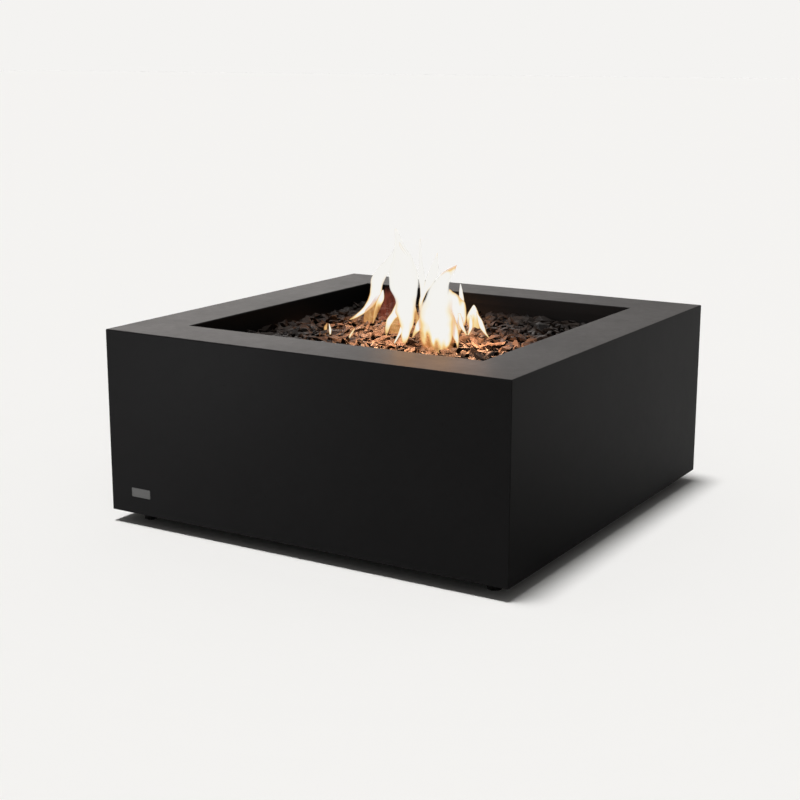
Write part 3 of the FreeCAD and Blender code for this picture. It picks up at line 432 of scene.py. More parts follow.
def coil_path(centre, radius, start, end, turns, steps=14):
    """Points of a spring's wire round a line through centre along +Y, with flat end turns."""
    total = turns * steps
    flat = 1.0 / turns
    path = []
    for k in range(total + 1):
        share = k / total
        rise = limited((share - flat) / (1.0 - 2.0 * flat))
        angle = math.tau * turns * share
        path.append(Vector((centre.x + radius * math.cos(angle), start + (end - start) * rise,
                            centre.z + radius * math.sin(angle))))
    return path


# Building materials

def set_socket(tree, socket, value):
    """Links a socket to another, or sets its value."""
    if isinstance(value, bpy.types.NodeSocket):
        tree.links.new(value, socket)
    elif socket.type == "RGBA":
        socket.default_value = (*value[:3], 1.0)
    else:
        socket.default_value = value


def set_sockets(tree, node, sockets):
    """Links or sets some of a node's sockets, by name or number."""
    for key, value in sockets.items():
        set_socket(tree, node.inputs[key], value)


def add_node(tree, kind, sockets=None, **fields):
    """Adds a node, with its fields set and its sockets linked or set."""
    node = tree.nodes.new(kind)
    for field, value in fields.items():
        setattr(node, field, value)
    set_sockets(tree, node, sockets or {})
    return node


def maths(tree, operation, *values, clamp=False):
    """The result of a Math node. MULTIPLY_ADD takes a value, its share, and what that share is added to."""
    node = add_node(tree, "ShaderNodeMath", dict(enumerate(values)), operation=operation, use_clamp=clamp)
    return node.outputs[0]


def centred(tree, value):
    """A grey value moved so that it swings round zero."""
    return maths(tree, "SUBTRACT", value, 0.5)


def ranged(tree, value, low, high, to_low=0.0, to_high=1.0):
    """A value moved from one range to another, and kept inside it."""
    sockets = {"Value": value, "From Min": low, "From Max": high, "To Min": to_low, "To Max": to_high}
    return add_node(tree, "ShaderNodeMapRange", sockets).outputs["Result"]


def mixed(tree, share, first, second, how="MIX"):
    """A colour between two others, or their blend."""
    sockets = {0: share, 6: first, 7: second}
    return add_node(tree, "ShaderNodeMix", sockets, data_type="RGBA", blend_type=how).outputs[2]


def between(tree, share, first, second):
    """A number between two others."""
    return add_node(tree, "ShaderNodeMix", {0: share, 2: first, 3: second}, data_type="FLOAT").outputs[0]


def toned(tree, colour, level):
    """A colour made darker or paler by a level."""
    grey = add_node(tree, "ShaderNodeCombineColor", {"Red": level, "Green": level, "Blue": level})
    return mixed(tree, 1.0, colour, grey.outputs[0], "MULTIPLY")


def nearness(tree, way, other):
    """How nearly one direction runs along another: 1 when they are the same, and -1 when opposite."""
    node = add_node(tree, "ShaderNodeVectorMath", {0: way, 1: other}, operation="DOT_PRODUCT")
    return node.outputs["Value"]


def noise_of(tree, place, scale, detail=2.0, roughness=0.5, distortion=0.0):
    """The grey value of a Noise Texture."""
    sockets = {"Vector": place, "Scale": scale, "Detail": detail, "Roughness": roughness,
               "Distortion": distortion}
    return add_node(tree, "ShaderNodeTexNoise", sockets).outputs["Fac"]


def object_place(tree):
    """Where a point lies in the frame of the part."""
    return add_node(tree, "ShaderNodeTexCoord").outputs["Object"]


def kept_value(tree, name, output="Fac"):
    """What a mesh keeps under a name at a point."""
    node = add_node(tree, "ShaderNodeAttribute", attribute_name=name, attribute_type="GEOMETRY")
    return node.outputs[output]


def add_bump(tree, shader, height, depth, strength=1.0):
    """Lets a height stand off a surface, depth high at most."""
    bump = add_node(tree, "ShaderNodeBump", {"Height": height, "Distance": depth, "Strength": strength})
    set_socket(tree, shader.inputs["Normal"], bump.outputs["Normal"])


def new_group(name, takes, gives):
    """A shader node group with named inputs and outputs, and its two end nodes."""
    group = bpy.data.node_groups.new(name, "ShaderNodeTree")
    for label, kind, value in takes:
        socket = group.interface.new_socket(name=label, in_out="INPUT", socket_type="NodeSocket" + kind)
        socket.default_value = (*value, 1.0) if kind == "Color" else value
    for label, kind in gives:
        group.interface.new_socket(name=label, in_out="OUTPUT", socket_type="NodeSocket" + kind)
    return group, add_node(group, "NodeGroupInput").outputs, add_node(group, "NodeGroupOutput")


SURFACE = (("Colour", "Color"), ("Roughness", "Float"), ("Height", "Float"))


def cast_skin_group():
    """Sealed cast stone: slow drifts of colour, fine speckle and small pores, whose darker colour is painted
    shade.
    """
    takes = (("Colour", "Color", (0.02, 0.02, 0.02)), ("Cloud", "Float", 0.15), ("Pores", "Float", 0.1),
             ("Roughness", "Float", 0.45))
    group, given, out = new_group("Cast skin", takes, SURFACE)
    place = object_place(group)
    drift = noise_of(group, place, scale=2.6, detail=5.0, roughness=0.55, distortion=0.4)
    patch = noise_of(group, place, scale=17.0, detail=4.0, roughness=0.6)
    speck = noise_of(group, place, scale=700.0, roughness=0.6)
    brush = noise_of(group, place, scale=60.0, detail=3.0, roughness=0.7)
    cells = add_node(group, "ShaderNodeTexVoronoi", {"Vector": place, "Scale": 95.0, "Randomness": 1.0})
    draw = add_node(group, "ShaderNodeSeparateColor", {"Color": cells.outputs["Color"]}).outputs
    has_pore = maths(group, "LESS_THAN", draw["Red"], given["Pores"])
    pore_radius = ranged(group, draw["Green"], 0.0, 1.0, to_low=0.05, to_high=0.13)
    inside = maths(group, "SUBTRACT", pore_radius, cells.outputs["Distance"])
    pore = maths(group, "MULTIPLY", has_pore, ranged(group, inside, 0.0, 0.03))
    patches = maths(group, "MULTIPLY", centred(group, patch), 0.7)
    swing = maths(group, "ADD", centred(group, drift), patches)
    level = maths(group, "MULTIPLY_ADD", swing, given["Cloud"], 1.0)
    level = maths(group, "MULTIPLY_ADD", centred(group, speck), 0.22, level)
    # Pores are dented by the bump, and their colour is darkened inside as painted shade
    pore_shade = maths(group, "MULTIPLY_ADD", pore, -0.45, 1.0)
    level = maths(group, "MULTIPLY", level, pore_shade)
    rough = maths(group, "MULTIPLY_ADD", swing, 0.10, given["Roughness"])
    rough = maths(group, "MULTIPLY_ADD", centred(group, brush), 0.08, rough)
    strokes = maths(group, "MULTIPLY", brush, 0.25)
    height = maths(group, "MULTIPLY_ADD", speck, 0.10, strokes)
    set_sockets(group, out, {"Colour": toned(group, given["Colour"], level),
                             "Roughness": maths(group, "MULTIPLY_ADD", pore, 0.3, rough, clamp=True),
                             "Height": maths(group, "MULTIPLY_ADD", pore, -1.0, height)})
    return group


def moulded_group():
    """Fine even texture of coatings, plastics, rubber and ceramics."""
    takes = (("Colour", "Color", (0.02, 0.02, 0.02)), ("Grain size", "Float", 0.0006),
             ("Roughness", "Float", 0.45), ("Unevenness", "Float", 0.1))
    group, given, out = new_group("Moulded texture", takes, SURFACE)
    place = object_place(group)
    fineness = maths(group, "DIVIDE", 1.0, given["Grain size"])
    grain = noise_of(group, place, fineness, detail=3.0, roughness=0.6)
    swing = centred(group, noise_of(group, place, scale=34.0, detail=4.0, roughness=0.6, distortion=0.5))
    level = maths(group, "MULTIPLY_ADD", swing, given["Unevenness"], 1.0)
    level = maths(group, "MULTIPLY_ADD", centred(group, grain), given["Unevenness"], level)
    rough = maths(group, "MULTIPLY_ADD", swing, 0.22, given["Roughness"], clamp=True)
    set_sockets(group, out, {"Colour": toned(group, given["Colour"], level), "Roughness": rough,
                             "Height": grain})
    return group


def brushed_group():
    """Metal with fine lines that run one way, and faint stains."""
    takes = (("Colour", "Color", (0.5, 0.5, 0.5)), ("Stretch", "Vector", (1.0, 1.0, 1.0)),
             ("Roughness", "Float", 0.3), ("Stain", "Float", 0.15))
    group, given, out = new_group("Brushed grain", takes, SURFACE)
    place = object_place(group)
    drawn = add_node(group, "ShaderNodeVectorMath", {0: place, 1: given["Stretch"]}, operation="MULTIPLY")
    lines = noise_of(group, drawn.outputs[0], scale=1000.0, detail=3.0, roughness=0.65)
    swing = centred(group, noise_of(group, place, scale=26.0, detail=5.0, roughness=0.65, distortion=0.6))
    level = maths(group, "MULTIPLY_ADD", swing, given["Stain"], 1.0)
    level = maths(group, "MULTIPLY_ADD", centred(group, lines), 0.3, level)
    rough = maths(group, "MULTIPLY_ADD", swing, given["Stain"], given["Roughness"])
    rough = maths(group, "MULTIPLY_ADD", centred(group, lines), 0.18, rough, clamp=True)
    set_sockets(group, out, {"Colour": toned(group, given["Colour"], level), "Roughness": rough,
                             "Height": lines})
    return group


def edge_wear_group():
    """Where edges are rubbed: a mask that follows sharp edges and breaks up along them."""
    takes = (("Radius", "Float", 0.001), ("Amount", "Float", 0.5))
    group, given, out = new_group("Edge wear", takes, (("Mask", "Float"),))
    round_normal = add_node(group, "ShaderNodeBevel", {"Radius": given["Radius"]}, samples=4).outputs[0]
    flat_normal = add_node(group, "ShaderNodeNewGeometry").outputs["Normal"]
    at_edge = ranged(group, nearness(group, round_normal, flat_normal), 0.99, 0.86)
    patches = noise_of(group, object_place(group), scale=210.0, detail=4.0, roughness=0.7)
    rubbed = maths(group, "MULTIPLY", at_edge, ranged(group, patches, 0.38, 0.62))
    set_sockets(group, out, {"Mask": maths(group, "MULTIPLY", rubbed, given["Amount"], clamp=True)})
    return group


def braid_group():
    """Two sets of wire bands that cross round a hose, painted darker where the weave runs low, as shade
    between the wires.
    """
    takes = (("Colour", "Color", (0.5, 0.5, 0.5)), ("Pitch", "Float", 0.003), ("Bands", "Float", 6.0))
    group, given, out = new_group("Braid", takes, SURFACE)
    lay = add_node(group, "ShaderNodeSeparateXYZ", {0: kept_value(group, "lay", "Vector")}).outputs
    round_share = maths(group, "MULTIPLY", maths(group, "ARCTAN2", lay["X"], lay["Y"]), given["Bands"])
    along = maths(group, "MULTIPLY", maths(group, "DIVIDE", lay["Z"], given["Pitch"]), math.pi)
    ways = [maths(group, operation, along, round_share) for operation in ("ADD", "SUBTRACT")]
    over = maths(group, "MULTIPLY", *[maths(group, "SINE", way) for way in ways])
    wires = [maths(group, "SINE", maths(group, "MULTIPLY", way, 3.0)) for way in ways]
    wires = [maths(group, "ABSOLUTE", wire) for wire in wires]
    on_top = between(group, maths(group, "GREATER_THAN", over, 0.0), *wires)
    weave = maths(group, "MULTIPLY", maths(group, "ABSOLUTE", over), 0.6)
    height = maths(group, "MULTIPLY_ADD", on_top, 0.4, weave)
    # Darker where the weave is low, between and under the wires: painted shade in the braid's gaps
    level = ranged(group, height, 0.0, 0.6, to_low=0.35, to_high=1.0)
    rough = ranged(group, height, 0.0, 1.0, to_low=0.55, to_high=0.28)
    set_sockets(group, out, {"Colour": toned(group, given["Colour"], level), "Roughness": rough,
                             "Height": height})
    return group


GROUPS = {"Cast skin": cast_skin_group, "Moulded texture": moulded_group, "Brushed grain": brushed_group,
          "Edge wear": edge_wear_group, "Braid": braid_group}


def use_group(tree, name, sockets):
    """Places a shared node group in a material. The group is built when it is first used."""
    node = tree.nodes.new("ShaderNodeGroup")
    node.node_tree = bpy.data.node_groups.get(name) or GROUPS[name]()
    set_sockets(tree, node, sockets)
    return node.outputs


def new_material(name, **constants):
    """A material with a Principled shader, whose plain sockets are set by name."""
    material = bpy.data.materials.new(name)
    material.use_nodes = True
    tree = material.node_tree
    tree.nodes.clear()
    shader = add_node(tree, "ShaderNodeBsdfPrincipled")
    for label, value in constants.items():
        set_socket(tree, shader.inputs[label.replace("_", " ")], value)
    add_node(tree, "ShaderNodeOutputMaterial", {"Surface": shader.outputs["BSDF"]})
    return material, tree, shader


def wear_finish(tree, shader, given, depth, worn=None, worn_roughness=0.3, radius=0.001, amount=0.0):
    """Feeds a shader from a group's colour, roughness and height, with rubbed edges over them."""
    colour, rough = given["Colour"], given["Roughness"]
    if worn:
        mask = use_group(tree, "Edge wear", {"Radius": radius, "Amount": amount})["Mask"]
        colour = mixed(tree, mask, colour, worn)
        rough = between(tree, mask, rough, worn_roughness)
    set_sockets(tree, shader, {"Base Color": colour, "Roughness": rough})
    add_bump(tree, shader, given["Height"], depth)


def cast_material(name, settings):
    """Charcoal cast stone under a satin sealer."""
    material, tree, shader = new_material(name, Specular_IOR_Level=settings.sheen_level)
    skin = use_group(tree, "Cast skin", {"Colour": settings.colour, "Cloud": settings.cloud,
                                         "Pores": settings.pores, "Roughness": settings.roughness})
    pale = [2.4 * channel for channel in settings.colour]
    wear_finish(tree, shader, skin, depth=0.00025, worn=pale, worn_roughness=0.6, radius=0.0016, amount=0.35)
    return material


def moulded_material(name, colour, grain=0.0006, roughness=0.45, unevenness=0.12, depth=0.00006, level=0.5,
                     worn=None, sheen=0.0):
    """Coating, plastic, rubber, fibre or ceramic with an even fine texture."""
    material, tree, shader = new_material(name, Specular_IOR_Level=level, Sheen_Weight=sheen)
    texture = use_group(tree, "Moulded texture", {"Colour": colour, "Grain size": grain,
                                                  "Roughness": roughness, "Unevenness": unevenness})
    wear_finish(tree, shader, texture, depth, worn, worn_roughness=0.35, radius=0.0008, amount=0.5)
    return material


def metal_material(name, colour, stretch=(1.0, 1.0, 0.04), roughness=0.3, stain=0.2, depth=0.00002):
    """Bare metal with fine lines, faint stains and brighter edges."""
    material, tree, shader = new_material(name, Metallic=1.0)
    grain = use_group(tree, "Brushed grain", {"Colour": colour, "Stretch": stretch, "Roughness": roughness,
                                              "Stain": stain})
    bright = [min(1.0, 1.35 * channel + 0.03) for channel in colour]
    wear_finish(tree, shader, grain, depth, bright, worn_roughness=0.22, radius=0.0005, amount=0.7)
    return material


RUBBED_BLACK = (0.05, 0.05, 0.05)

# Finishes by slot. A colour is the path of a setting in the scene, or stands here itself
MOULDED_FINISHES = {
    "foot_rubber": dict(colour="fire_pit_cast.rubber", grain=0.0009, roughness=0.72, unevenness=0.3,
                        depth=0.00012, level=0.3),
    "black_steel": dict(colour="fire_pit_metal.coating", grain=0.0011, roughness=0.42, unevenness=0.14,
                        depth=0.00008, level=0.4, worn=RUBBED_BLACK),
    "black_plastic": dict(colour="fire_pit_controls.plastic", grain=0.0005, roughness=0.38, depth=0.00005,
                          worn=RUBBED_BLACK),
    "red_plastic": dict(colour="fire_pit_controls.button", grain=0.0005, roughness=0.3, unevenness=0.08,
                        depth=0.00003),
    "white_ceramic": dict(colour=(0.66, 0.64, 0.58), grain=0.0012, roughness=0.24, unevenness=0.06,
                          depth=0.00003),
    "silicone_grey": dict(colour=(0.16, 0.16, 0.16), grain=0.0007, roughness=0.6, level=0.35),
    "fibre_strip": dict(colour=(0.30, 0.28, 0.24), grain=0.0013, roughness=0.92, unevenness=0.6,
                        depth=0.0003, level=0.2, sheen=0.2),
}
METAL_FINISHES = {
    "brass": dict(colour="fire_pit_metal.brass", stretch=(1.0, 1.0, 0.06), roughness=0.26, stain=0.3),
    "zinc_steel": dict(colour="fire_pit_metal.zinc", stretch=(0.4, 0.4, 0.4), roughness=0.34, stain=0.35,
                       depth=0.00003),
    "stainless": dict(colour="fire_pit_metal.stainless", stretch=(0.05, 1.0, 1.0), stain=0.25),
    "copper": dict(colour="fire_pit_metal.copper", stretch=(0.6, 0.6, 0.6), roughness=0.33, stain=0.4),
    "aluminised_steel": dict(colour="fire_pit_metal.aluminised", stretch=(0.25, 0.25, 0.25), roughness=0.42,
                             stain=0.4, depth=0.00005),
    "valve_aluminium": dict(colour="fire_pit_metal.aluminium", stretch=(0.45, 0.45, 0.45), roughness=0.48,
                            stain=0.25, depth=0.00012),
    "plate_metal": dict(colour="fire_pit_plate.colour", stretch=(0.03, 1.0, 1.0), roughness=0.42,
                        stain=0.15),
}


def slot_finish(slot, scene):
    """Builds the finish of a material slot of the record."""
    name = slot + "_finish"
    if slot == "cast_graphite":
        return cast_material(name, scene.fire_pit_cast)
    for build, finishes in ((moulded_material, MOULDED_FINISHES), (metal_material, METAL_FINISHES)):
        if slot in finishes:
            look = dict(finishes[slot])
            if isinstance(look["colour"], str):
                look["colour"] = scene.path_resolve(look["colour"])
            return build(name, **look)
    raise RuntimeError("there is no finish for the slot " + slot)


def finish_of(slot, scene):
    """The finish of a slot, built once."""
    return bpy.data.materials.get(slot + "_finish") or slot_finish(slot, scene)


CAD_SLOTS = {name: node.data.materials[0].name for name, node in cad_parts.items()}


def dress(scene, *names):
    """Gives CAD nodes the finishes of their slots."""
    for name in names:
        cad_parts[name].material_slots[0].material = finish_of(CAD_SLOTS[name], scene)


def replace_node(node):
    """The piece stands for a CAD node, which is hidden."""
    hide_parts(node)


# Operators

# Painted shade on the floor: glossy rays see the floor darkened round this middle, so the casing mirrors a
# dim patch by its nearest corner
PAINTED_SHADE_MIDDLE = (0.80, -0.60, 0.0)       # middle of the floor that is mirrored dimmer
PAINTED_SHADE_REACH = (0.45, 1.55)              # from its darkest to its even part
FLOOR_FLECK = (0.88, 0.87, 0.86)
FLOOR_FLECKS = 300.0                         # in a metre
FLECK_SHARE = 0.01
FILL_PLACE = Vector((-0.95, -1.45, 0.15))
FILL_TARGET = Vector((-0.50, -0.508, 0.06))
FILL_SIZE = 0.5
SENSOR_WIDTH = 36.0                          # in millimetres, as the lens is
VIEW_END = 500.0

# Bright patches of the studio that glossy surfaces mirror: the way to a patch's middle, and how near to that
# way its edge and its full brightness lie
FAR_WALL = ((-0.30, 0.95, 0.10), (-0.35, 0.75))
FAR_WINDOW = ((-0.80, 0.60, 0.0), (0.80, 1.0))
SIDE_WINDOW = ((-0.86, -0.50, 0.10), (0.60, 1.0))


class FIREPIT_OT_stage(bpy.types.Operator):
    """Set up the floor, the studio light and the camera"""

    bl_idname = "firepit.stage"
    bl_label = "Stage"

    def execute(self, context):
        scene = context.scene
        studio = scene.fire_pit_studio
        self.lay_floor(studio)
        self.hang_key(studio)
        self.hang_fill(studio)
        self.light_world(scene, studio)
        self.place_camera(scene, studio)
        scene.view_settings.view_transform = "Standard"
        return {"FINISHED"}

    def lay_floor(self, studio):
        """A pale floor, with painted shade round the nearest corner that only glossy rays see, so gloss
        mirrors it dimmer there than it is seen.
        """
        reach = studio.floor_side / 2
        corners = [(-reach, -reach, 0.0), (reach, -reach, 0.0), (reach, reach, 0.0), (-reach, reach, 0.0)]
        floor = add_object("studio_floor", mesh_from("studio_floor", corners, [(0, 1, 2, 3)]))
        material, tree, shader = new_material("studio_floor", Specular_IOR_Level=0.0, Roughness=1.0)
        fleck = maths(tree, "MULTIPLY", noise_of(tree, object_place(tree), FLOOR_FLECKS), FLECK_SHARE)
        tint = mixed(tree, fleck, studio.floor, FLOOR_FLECK)
        away = add_node(tree, "ShaderNodeVectorMath", {0: object_place(tree), 1: PAINTED_SHADE_MIDDLE},
                        operation="DISTANCE").outputs["Value"]
        is_mirrored = add_node(tree, "ShaderNodeLightPath").outputs["Is Glossy Ray"]
        # Painted shade: the floor's colour is darkened for glossy rays near the table's nearest corner
        shade = ranged(tree, away, *PAINTED_SHADE_REACH, to_low=studio.near_shade, to_high=0.0)
        shade = maths(tree, "MULTIPLY", is_mirrored, shade)
        set_socket(tree, shader.inputs["Base Color"], mixed(tree, shade, tint, (0.0, 0.0, 0.0)))
        floor.data.materials.append(material)

    def hang_key(self, studio):
        """The high soft light that throws the shadow on the floor."""
        down = (math.tan(studio.key_to_left), math.tan(studio.key_to_front), -1.0)
        add_lamp("key", "SUN", studio.key, way=down, angle=studio.key_spread)

    def hang_fill(self, studio):
        """A low soft lamp that lights the casing alone, so that the floor stays even."""
        fill = add_lamp("front_fill", "AREA", studio.front_fill, FILL_PLACE, FILL_TARGET - FILL_PLACE,
                        size=FILL_SIZE, color=studio.fill_colour)
        lit = bpy.data.collections.new("front_fill")
        lit.objects.link(bpy.data.objects["casing"])
        fill.light_linking.receiver_collection = lit

    def light_world(self, scene, studio):
        """The studio as the camera sees it, as gloss mirrors it, and as the soft light from all round."""
        world = bpy.data.worlds.new("studio")
        scene.world = world
        world.use_nodes = True
        tree = world.node_tree
        tree.nodes.clear()
        path = add_node(tree, "ShaderNodeLightPath").outputs
        level = self.patch_level(tree, FAR_WALL, studio.dim_side, 1.0)
        for window, strength in ((FAR_WINDOW, studio.window), (SIDE_WINDOW, studio.side_window)):
            level = maths(tree, "ADD", level, self.patch_level(tree, window, 0.0, strength))
        seen = maths(tree, "ADD", path["Is Camera Ray"], path["Is Transmission Ray"], clamp=True)
        plain = self.background(tree, studio.backdrop, 1.0)
        mirrored = self.background(tree, studio.mirrored, level)
        around = self.background(tree, studio.backdrop, studio.ambient)
        lit = add_node(tree, "ShaderNodeMixShader", {0: path["Is Glossy Ray"], 1: around, 2: mirrored})
        shown = add_node(tree, "ShaderNodeMixShader", {0: seen, 1: lit.outputs[0], 2: plain})
        add_node(tree, "ShaderNodeOutputWorld", {"Surface": shown.outputs[0]})

    def patch_level(self, tree, patch, dark, bright):
        """The level of the mirrored studio over a bright patch."""
        way, (edge, middle) = patch
        toward = add_node(tree, "ShaderNodeTexCoord").outputs["Generated"]
        return ranged(tree, nearness(tree, toward, way), edge, middle, dark, bright)

    def background(self, tree, colour, level):
        """A plain colour of the world, as bright as its level."""
        return add_node(tree, "ShaderNodeBackground", {"Color": colour, "Strength": level}).outputs[0]

    def place_camera(self, scene, studio):
        """The camera of the main view."""
        lens = bpy.data.cameras.new("camera")
        lens.lens = studio.lens
        lens.sensor_width = SENSOR_WIDTH
        lens.clip_end = VIEW_END
        camera = add_object("camera", lens)
        camera.location = studio.camera_place
        camera.rotation_euler = studio.camera_turn
        scene.camera = camera


class FIREPIT_OT_casing(bpy.types.Operator):
    """Finish the cast body, the ring under its rim and the feet"""

    bl_idname = "firepit.casing"
    bl_label = "Casing and feet"

    def execute(self, context):
        dress(context.scene, "casing", "bowl_ring", "bumper_feet", "foot_screws", "foot_inserts")
        return {"FINISHED"}


PLATE_LIP = 0.00012                          # bevel of the plate's edge and of the engraved line
LINE_WIDTH = 0.0004
LEAST_CORNER = 0.0004


class FIREPIT_OT_nameplate(bpy.types.Operator):
    """Make the bare brushed plate with its engraved border"""

    bl_idname = "firepit.nameplate"
    bl_label = "Nameplate"

    def execute(self, context):
        settings = context.scene.fire_pit_plate
        low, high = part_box("nameplate")
        middle, size = (low + high) / 2, high - low
        border, bottom = settings.border, low.y + settings.groove
        steps = [(0.0, high.y), (0.0, low.y + PLATE_LIP), (PLATE_LIP, low.y), (border, low.y),
                 (border + PLATE_LIP, bottom), (border + LINE_WIDTH, bottom),
                 (border + LINE_WIDTH + PLATE_LIP, low.y)]
        rings = []
        for inset, y in steps:
            corner = max(settings.corner - inset, LEAST_CORNER)
            outline = rounded_outline(size.x - 2 * inset, size.z - 2 * inset, corner)
            rings.append([Vector((middle.x + x, y, middle.z + z)) for x, z in outline])
        plate = add_piece("front_plate", mesh_from("front_plate", *skin_of(rings)))
        plate.data.materials.append(finish_of("plate_metal", context.scene))
        replace_node("nameplate")
        return {"FINISHED"}


class FIREPIT_OT_tray(bpy.types.Operator):
    """Finish the tray, the ring burner, the pilot and the heat shield"""

    bl_idname = "firepit.tray"
    bl_label = "Tray and burner"

    def execute(self, context):
        dress(context.scene, "tray_gasket", "burner_tray", "ring_burner", "burner_nipple", "tray_locknut",
              "pilot_bracket", "electrode_insulator", "electrode_rod", "thermocouple_probe", "lead_grommets",
              "heat_shield", "shield_spacers", "shield_screws")
        return {"FINISHED"}


# Chips of glass. Corners, width and thickness are for a chip about one unit long, before it gets its length
CHIP_SHAPES = 28
CHIP_CORNERS = (8, 12)
CORNER_REACH = (0.42, 0.52)
CHIP_WIDTH = (0.42, 0.78)
CHIP_THICKNESS = (0.22, 0.42)
SHORT_BIAS = 1.8                             # over 1, short chips are commoner than long ones
CHIP_LAYERS = ((0.0030, 0.0020), (0.0090, 0.0020))      # depth under the bed's top, and play up and down
ROW_SPACING = 0.866                          # as a share of the spacing in a row
CHIP_SHIFT = 0.006
CHIP_TILT = 0.36                             # spread of the tilts, in radians
WALL_GAP = 0.0006
HEAP = 0.004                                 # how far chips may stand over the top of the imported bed

# The solid glass between and below the chips
BED_EDGE = 0.002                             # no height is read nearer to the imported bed's walls
RAY_START = 0.05                             # over the bed, from where its height is read
BED_DROP = 0.006                             # under the bed's top, where nothing is read
CORE_CELLS = 96
CORE_GAP = 0.002                             # to the walls, on both sides together
CORE_DEPTH = 0.0125                          # of its top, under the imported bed's
CORE_BASE = 0.0275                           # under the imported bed's highest point
CORE_RIPPLE = 0.0028
CORE_RIPPLES = 60.0                          # in a metre
CORE_TONE = 0.1


